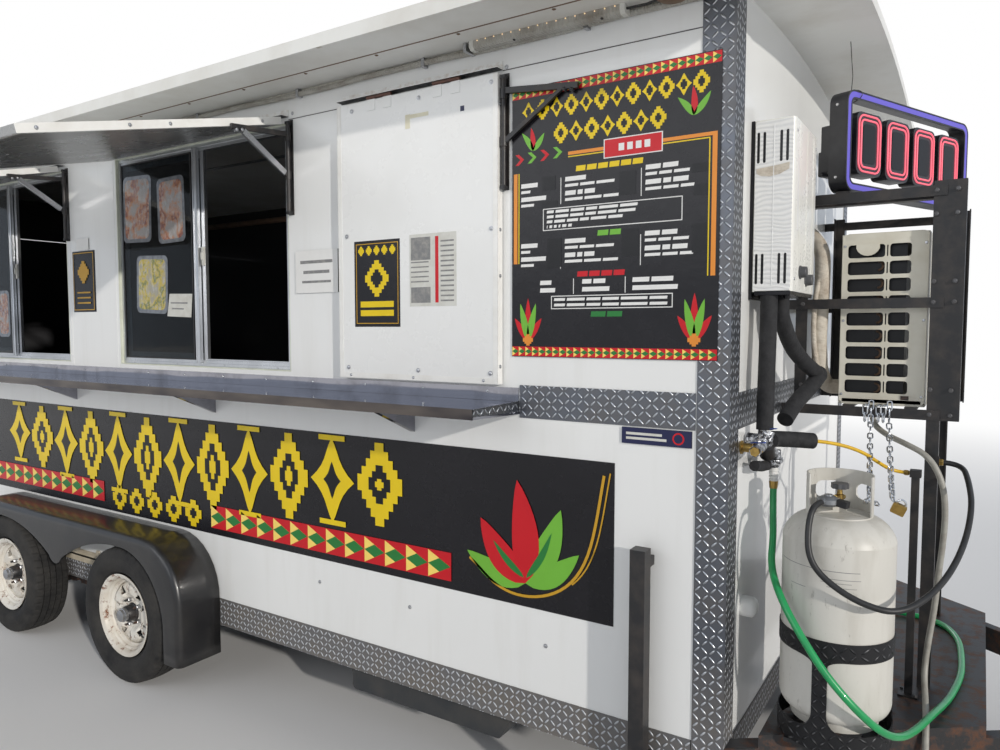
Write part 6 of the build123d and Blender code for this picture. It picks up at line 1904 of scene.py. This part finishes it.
class Print:
    """A printed panel on an upright sheet; places are back from the front corner and height."""

    def __init__(self, name, out, body="trailer"):
        self.shape = Shape(name, body, "sign_board")
        self.out = out

    def ink(self, look, points, layer=1):
        """A flat inked area; layers lie on each other."""
        self.shape.look = look
        lift = self.out + (layer - 1) * ink_layer
        self.shape.prism([on_service(back, lift, z) for back, z in points], (0, -ink_layer, 0))

    def bar(self, look, left, right, low, high, layer=1, slant=0.0):
        self.ink(look, [(left, low), (right, low), (right - slant, high), (left - slant, high)], layer)

    def ring(self, look, left, right, low, high, wide, layer=1):
        """A thin frame."""
        self.bar(look, left, right, low, low + wide, layer)
        self.bar(look, left, right, high - wide, high, layer)
        self.bar(look, left, left - wide, low + wide, high - wide, layer)
        self.bar(look, right + wide, right, low + wide, high - wide, layer)

    def border(self, left, right, low, high, count, layer=1):
        """A row of red cells, each with a cream triangle and a green diamond."""
        wide = (left - right) / count
        self.bar("red", left, right, low, high, layer)
        middle, half = (low + high) / 2, (high - low) / 2 * 0.96
        for cell in range(count):
            start = left - cell * wide
            stop = start - wide * 0.97
            self.ink("cream", [(start, middle - half), (stop, middle), (start, middle + half)], layer + 1)
            halfway = (start + stop) / 2
            diamond = [
                (start, middle), (halfway, middle - half / 2), (stop, middle), (halfway, middle + half / 2)
            ]
            self.ink("green", diamond, layer + 2)

    def line(self, look, points, wide, layer=1):
        """A drawn line of even width through points."""
        for (start_u, start_z), (stop_u, stop_z) in zip(points, points[1:]):
            long = hypot(stop_u - start_u, stop_z - start_z)
            off_u, off_z = (start_z - stop_z) / long * wide / 2, (stop_u - start_u) / long * wide / 2
            corners = [(start_u + off_u, start_z + off_z), (stop_u + off_u, stop_z + off_z)]
            corners += [(stop_u - off_u, stop_z - off_z), (start_u - off_u, start_z - off_z)]
            self.ink(look, corners, layer)

    def leaf(self, look, root, tip, wide, bend, layer=1, count=13):
        """A pointed leaf from root to tip, bent to one side."""
        (root_u, root_z), (tip_u, tip_z) = root, tip
        long = hypot(tip_u - root_u, tip_z - root_z)
        way_u, way_z = (tip_u - root_u) / long, (tip_z - root_z) / long
        left, right = [], []
        for step in range(count):
            share = step / (count - 1)
            fat = wide / 2 * sin(pi * share ** 0.75) ** 0.8
            drift = bend * sin(pi * share)
            mid_u = root_u + way_u * long * share - way_z * drift
            mid_z = root_z + way_z * long * share + way_u * drift
            left.append((mid_u - way_z * fat, mid_z + way_u * fat))
            right.append((mid_u + way_z * fat, mid_z - way_u * fat))
        self.ink(look, left[1:-1] + [(tip_u, tip_z)] + right[-2:0:-1] + [(root_u, root_z)], layer)

    def stepped(self, look, middle, low, high, wide, steps, layer=1):
        """A stepped diamond, as woven into blankets."""
        half_high = (high - low) / 2
        centre = (low + high) / 2
        quarter = []
        for step in range(steps):
            reach = wide / 2 * (steps - step) / steps
            quarter += [(reach, half_high * step / steps), (reach, half_high * (step + 1) / steps)]
        outline = [(middle - u, centre + v) for u, v in quarter]
        outline += [(middle + u, centre + v) for u, v in reversed(quarter)]
        outline += [(middle + u, centre - v) for u, v in quarter]
        outline += [(middle - u, centre - v) for u, v in reversed(quarter)]
        tidy = [point for i, point in enumerate(outline) if point != outline[i - 1]]
        self.ink(look, tidy, layer)

    def spike(self, look, middle, low, high, wide, waist, layer=1):
        """A tall lozenge whose sides curve in above and below its points."""
        centre = (low + high) / 2
        outline = []
        for way_u, way_v in ((1, 1), (-1, 1), (-1, -1), (1, -1)):
            arcs = []
            for step in range(7):
                share = step / 6
                u = wide / 2 * (1 - share) * (1 - waist * sin(pi * share))
                arcs.append((middle - way_u * u, centre + way_v * (high - low) / 2 * share))
            outline += arcs[:-1] if way_u * way_v > 0 else arcs[:0:-1]
        self.ink(look, outline, layer)


def make_banner():
    """Long banner: a bold woven row where the words stood, border strips and a spray of leaves."""
    banner = Print("banner_print", 0.005)
    rows = [4.26 + 0.262 * k for k in range(-11, 1)]
    for k, middle in enumerate(reversed(rows)):
        if 2.7 < middle < 2.78:
            middle -= 0.02
        low = 0.965 - 0.085 * sin(pi * (k + 0.6) / 12)
        high = 1.292
        if k % 2:
            banner.stepped("yellow", middle, low, high, 0.235, 5)
            banner.stepped("dark", middle, low + 0.09, high - 0.09, 0.115, 3, 2)
            banner.stepped("yellow", middle, low + 0.145, high - 0.145, 0.045, 2, 3)
        else:
            banner.spike("yellow", middle, low, high, 0.25, 0.3)
            banner.spike("dark", middle, low + 0.1, high - 0.1, 0.1, 0.3, 2)
            for end in (low, high):
                banner.bar("yellow", middle + 0.075, middle - 0.075, end - 0.011, end + 0.011, 2)
    for k in range(5):
        middle = 3.215 - 0.158 * k
        banner.stepped("yellow", middle, 0.782, 0.912, 0.125, 3)
        banner.stepped("dark", middle, 0.822, 0.872, 0.05, 2, 2)
    banner.border(4.668, 3.36, 0.808, 0.918, 12)
    banner.border(2.445, 1.024, 0.796, 0.905, 13)
    base = (0.7, 0.85)
    banner.leaf("leaf", base, (0.95, 0.93), 0.085, -0.02, 1)
    banner.leaf("red", base, (0.89, 1.06), 0.105, -0.02, 2)
    banner.leaf("red", base, (0.735, 1.215), 0.11, 0.015, 3)
    banner.leaf("leaf", base, (0.56, 1.13), 0.1, 0.02, 2)
    banner.leaf("leaf", base, (0.49, 0.985), 0.08, 0.02, 1)
    banner.leaf("green", (0.706, 0.87), (0.835, 0.985), 0.026, -0.008, 4)
    banner.leaf("green", (0.696, 0.87), (0.595, 1.045), 0.026, 0.01, 4)
    curve = []
    for step in range(31):
        share = step / 30
        back = 0.94 - 0.56 * share ** 0.8 + 0.035 * sin(2.2 * pi * share)
        curve.append((back, 0.905 - 0.125 * sin(pi * share ** 0.9) + 0.36 * share ** 3))
    banner.line("gold", curve, 0.01, 1)
    banner.line("gold", [(u - 0.022, z + 0.01) for u, z in curve[18:]], 0.005, 1)
    banner.shape.piece()


def make_menu():
    """Menu board with blank lines: places are given by shares of its width and height from the top left."""
    menu = Print("menu_print", 0.0053)
    left, top, wide, high = 0.756, 2.56, 0.72, 0.91

    def at(u, v):
        return left - wide * u, top - high * v

    def bar(look, u0, u1, v0, v1, layer=1, slant=0.0):
        (back0, high_z), (back1, low_z) = at(u0, v0), at(u1, v1)
        menu.bar(look, back0, back1, low_z, high_z, layer, slant)

    def ring(look, u0, u1, v0, v1, line=0.0028):
        (back0, high_z), (back1, low_z) = at(u0, v0), at(u1, v1)
        menu.ring(look, back0, back1, low_z, high_z, line)

    def words(u0, u1, v, tall, breaks=()):
        """A blank line of text: short white bars with gaps at the given shares."""
        edges = [0.0, *breaks, 1.0]
        for a, b in zip(edges, edges[1:]):
            bar("white", u0 + (u1 - u0) * a, u0 + (u1 - u0) * b - 0.01, v, v + tall, 1, 0.0015)

    for v0 in (0.003, 0.962):
        (back0, high_z), (back1, low_z) = at(0.002, v0), at(0.998, v0 + 0.036)
        menu.border(back0, back1, low_z, high_z, 27)
    for k in range(12):
        (middle, high_z), (_, low_z) = at(0.09 + 0.075 * k, 0.054), at(0, 0.126)
        shape = menu.stepped if k % 2 else menu.spike
        shape("yellow", middle, low_z, high_z, 0.05, 4 if k % 2 else 0.25)
        menu.stepped("dark", middle, low_z + 0.018, high_z - 0.018, 0.02, 2, 2)
    for k in range(7):
        (middle, high_z), (_, low_z) = at(0.262 + 0.078 * k, 0.148), at(0, 0.222)
        shape = menu.spike if k % 2 else menu.stepped
        shape("yellow", middle, low_z, high_z, 0.052, 0.25 if k % 2 else 4)
        menu.stepped("dark", middle, low_z + 0.02, high_z - 0.02, 0.02, 2, 2)
    for root, tips in (
        ((0.115, 0.235), ((0.055, 0.165), (0.105, 0.15), (0.175, 0.175))),
        ((0.885, 0.195), ((0.815, 0.13), (0.88, 0.1), (0.955, 0.125))),
    ):
        for look, tip in zip(("leaf", "red", "leaf"), tips):
            menu.leaf(look, at(*root), at(*tip), 0.02, 0.003, 1)
    for k, look in enumerate(("red", "leaf", "red", "leaf")):
        u = 0.018 + 0.068 * k
        v = 0.262 - 0.003 * k
        menu.ink(
            look,
            [
                at(u, v - 0.02), at(u + 0.02, v - 0.02), at(u + 0.048, v), at(u + 0.02, v + 0.02),
                at(u, v + 0.02), at(u + 0.028, v),
            ],
        )
    for look, *edges in (
        ("orange", 0.3, 0.985, 0.256, 0.268), ("yellow", 0.3, 0.955, 0.272, 0.276),
        ("orange", 0.965, 0.985, 0.268, 0.72), ("yellow", 0.951, 0.956, 0.276, 0.72),
        ("orange", 0.01, 0.03, 0.313, 0.65), ("yellow", 0.036, 0.041, 0.313, 0.65),
    ):
        bar(look, *edges)
    bar("white", 0.478, 0.752, 0.231, 0.298, 2)
    bar("red", 0.483, 0.747, 0.2345, 0.2945, 3)
    for k in range(4):
        bar("white", 0.55 + k * 0.04, 0.576 + k * 0.04, 0.252, 0.277, 4)
    for look, u0, u1, v in (
        ("yellow", 0.34, 0.67, 0.31), ("leaf", 0.45, 0.57, 0.545), ("red", 0.35, 0.59, 0.687),
        ("green", 0.42, 0.58, 0.832),
    ):
        count = int((u1 - u0) / 0.055)
        for k in range(count):
            start = u0 + (u1 - u0) * k / count
            bar(look, start, start + (u1 - u0) / count - 0.008, v, v + 0.019, 1, 0.002)
    for u in (0.262, 0.655):
        bar("white", u, u + 0.0035, 0.345, 0.44)
        bar("white", u, u + 0.0035, 0.57, 0.675)
    for u in (0.33, 0.585):
        bar("white", u, u + 0.0035, 0.712, 0.768)
    columns = ((0.05, 0.15, 0.11), (0.285, 0.4, 0.54), (0.675, 0.83, 0.88))
    for top_v in (0.345, 0.568):
        for column, (u, first, second) in enumerate(columns):
            shift = 0.008 * (1 - column)
            words(u, first, top_v + shift, 0.016, (0.5,) if column == 2 else ())
            words(u, second, top_v + shift + 0.026, 0.01, (0.3, 0.62) if column else ())
            words(u, first + 0.045, top_v + shift + 0.05, 0.016, (0.4, 0.62) if column else ())
            words(u, second + 0.02, top_v + shift + 0.076, 0.01, (0.36, 0.7) if column else ())
    for u, stops in ((0.155, 0.245), (0.375, 0.52), (0.62, 0.835)):
        words(u, stops - 0.02, 0.716, 0.016, (0.45,) if u > 0.3 else ())
        words(u, stops, 0.744, 0.016)
    ring("white", 0.17, 0.842, 0.452, 0.533)
    for row, stop in enumerate((0.65, 0.64, 0.58, 0.33)):
        words(0.19, stop, 0.46 + row * 0.018, 0.01, (0.1, 0.27, 0.44, 0.58, 0.8))
    ring("white", 0.215, 0.805, 0.773, 0.822)
    for row in range(2):
        words(0.23, 0.79, 0.782 + row * 0.02, 0.01, (0.12, 0.3, 0.44, 0.6, 0.84))
    patches = ((0.165, 0.235, 0.335, 0.385), (0.165, 0.245, 0.425, 0.452), (0.555, 0.632, 0.35, 0.43))
    patches += ((0.88, 0.95, 0.352, 0.38), (0.89, 0.95, 0.42, 0.455), (0.195, 0.268, 0.563, 0.668))
    patches += ((0.57, 0.645, 0.548, 0.642), (0.885, 0.95, 0.548, 0.642))
    for u0, u1, v0, v1 in patches:
        bar("dark", u0, u1, v0, v1, 2)
    for mid_u, mid_v in ((0.09, 0.87), (0.9, 0.865)):
        for k, look in enumerate(("red", "leaf", "red", "leaf", "red")):
            turn = radians(150 - 30 * k)
            tip = (mid_u + 0.085 * cos(turn), mid_v + 0.06 - 0.15 * sin(turn))
            menu.leaf(look, at(mid_u, mid_v + 0.07), at(*tip), 0.026, 0.0, 1 + k % 2)
        (middle, low_z), (_, high_z) = at(mid_u, mid_v + 0.088), at(mid_u, mid_v + 0.045)
        menu.stepped("orange", middle, low_z, high_z, 0.04, 3, 3)
    menu.shape.piece()


def make_notices():
    """Small boards between the windows and on the lower panel, all blank."""
    notices = Print("notice_prints", 0.005)
    notices.ring("gold", 3.595, 3.395, 1.845, 2.155, 0.004)
    notices.bar("white", 3.555, 3.435, 2.17, 2.23)
    notices.stepped("gold", 3.495, 1.99, 2.11, 0.11, 4)
    for row in range(3):
        notices.bar("gold", 3.56, 3.43, 1.88 + row * 0.028, 1.888 + row * 0.028)
    notices.bar("white", 1.838, 1.59, 1.895, 2.071)
    for row, (inset, tall) in enumerate(((0.03, 0.013), (0.048, 0.013), (0.04, 0.01))):
        z = 2.03 - row * 0.042
        notices.bar("ink_grey", 1.838 - inset, 1.59 + inset, z - tall, z, 2)
    notices.bar("navy", 0.34, 0.11, 1.38, 1.432)
    notices.bar("label", 0.325, 0.205, 1.409, 1.417, 2)
    notices.bar("label", 0.325, 0.19, 1.394, 1.402, 2)
    notices.ink("red", circle(0.019, 24, 0.152, 1.406), 2)
    notices.ink("navy", circle(0.014, 24, 0.152, 1.406), 3)
    notices.shape.piece()


def make_posters():
    """Two blank posters on the closed visor."""
    posters = Print("visor_posters", 0.0333, "visor_3")
    posters.bar("film_black", 1.471, 1.238, 1.753, 2.087)
    posters.ring("gold", 1.462, 1.247, 1.765, 2.076, 0.003, 2)
    for k in range(5):
        posters.stepped("yellow", 1.435 - 0.04 * k, 2.03, 2.066, 0.03, 3, 2)
    posters.stepped("yellow", 1.355, 1.87, 2.01, 0.12, 5, 2)
    posters.stepped("dark", 1.355, 1.905, 1.975, 0.06, 3, 3)
    for row in range(2):
        posters.bar("yellow", 1.44, 1.27, 1.795 + row * 0.034, 1.818 + row * 0.034, 2)
    posters.bar("label", 1.191, 0.974, 1.829, 2.096)
    posters.bar("ink_grey", 1.184, 1.092, 2.000, 2.084, 2)
    posters.bar("ink_grey", 1.184, 1.092, 1.842, 1.9, 2)
    posters.bar("red", 1.07, 1.055, 1.842, 2.084, 2)
    for row in range(13):
        posters.bar("ink_grey", 1.045, 0.985, 1.846 + row * 0.018, 1.852 + row * 0.018, 2)
        if 3 < row < 9:
            posters.bar("ink_grey", 1.184, 1.1, 1.846 + row * 0.018, 1.851 + row * 0.018, 2)
    posters.shape.piece()


make_banner()
make_menu()
make_notices()
make_posters()


# Floor, light and background
def stage_floor():
    """A pale floor that keeps the trailer's shadow and fades into the white background."""
    made = bpy.data.materials.new("floor")
    made.use_nodes = True
    tree = made.node_tree
    start = Wire(tree)
    place = start.node("TexCoord", output="Object")
    x, y, _ = place.parts()
    away = ((x - 0.3) * (x - 0.3) + (y - 0.4) * (y - 0.4)).maths(
        "SQRT", (x - 0.3) * (x - 0.3) + (y - 0.4) * (y - 0.4)
    )
    fade = ((away - 4.5) / 9.0).clamped()
    fade = fade * fade * (3 - fade * 2)
    shader = tree.nodes["Principled BSDF"]
    shader.inputs["Base Color"].default_value = (*srgb(222, 222, 222), 1)
    shader.inputs["Roughness"].default_value = 0.85
    glow = start.node("Emission", inputs={"Color": (1, 1, 1, 1), "Strength": 1.0})
    blend = start.node("MixShader", inputs={0: fade, 1: Wire(tree, shader.outputs[0]), 2: glow})
    tree.links.new(blend.socket, tree.nodes["Material Output"].inputs["Surface"])
    mesh = bpy.data.meshes.new("floor")
    reach = 60.0
    mesh.from_pydata(
        [(-reach, -reach, 0), (reach, -reach, 0), (reach, reach, 0), (-reach, reach, 0)], [], [(0, 1, 2, 3)]
    )
    mesh.materials.append(made)
    floor = bpy.data.objects.new("floor", mesh)
    floor.location.z = -0.001
    bpy.context.collection.objects.link(floor)


def background():
    """White to the camera and through glass, a pale blue light in gloss; a soft grey light on everything
    else.
    """
    world = bpy.data.worlds.new("studio")
    bpy.context.scene.world = world
    world.use_nodes = True
    tree = world.node_tree
    start = Wire(tree)
    rays = start.node("LightPath")
    names = ("Is Camera Ray", "Is Glossy Ray", "Is Transmission Ray")
    camera_ray, glossy, transmitted = [Wire(tree, rays.socket.node.outputs[name]) for name in names]
    white = camera_ray.most(transmitted)
    shade = start.node("Background", inputs={"Color": (0.86, 0.91, 1.0, 1), "Strength": 0.42})
    seen = start.node("Background", inputs={"Color": (1, 1, 1, 1), "Strength": 1.0})
    mirrored = start.node("Background", inputs={"Color": (0.8, 0.88, 1.0, 1), "Strength": 0.75})
    soft = start.node("MixShader", inputs={0: glossy, 1: shade, 2: mirrored})
    blend = start.node("MixShader", inputs={0: white, 1: soft, 2: seen})
    tree.links.new(blend.socket, tree.nodes["World Output"].inputs["Surface"])


def lamp(name, kind, place, aim, energy, colour=(1, 1, 1), **settings):
    light = bpy.data.lights.new(name, kind)
    light.energy = energy
    light.color = colour
    for setting, value in settings.items():
        setattr(light, setting, value)
    made = bpy.data.objects.new(name, light)
    made.location = place
    made.rotation_euler = (Vector(aim) - Vector(place)).to_track_quat("-Z", "Y").to_euler()
    bpy.context.collection.objects.link(made)


stage_floor()
background()
lamp("sun", "SUN", (6.3, -2.9, 2.1), (0, 0, 0), 2.25, (1.0, 0.95, 0.88), angle=radians(1.5))
lamp("side_light", "AREA", (-1.5, -7.5, 4.2), (-0.5, -0.6, 1.2), 120, shape="RECTANGLE", size=7, size_y=3)
lamp("far_light", "AREA", (-3, 8.0, 5.0), (0, 1.0, 1.0), 260, shape="RECTANGLE", size=7, size_y=3)
bpy.context.scene.view_settings.view_transform = "Standard"
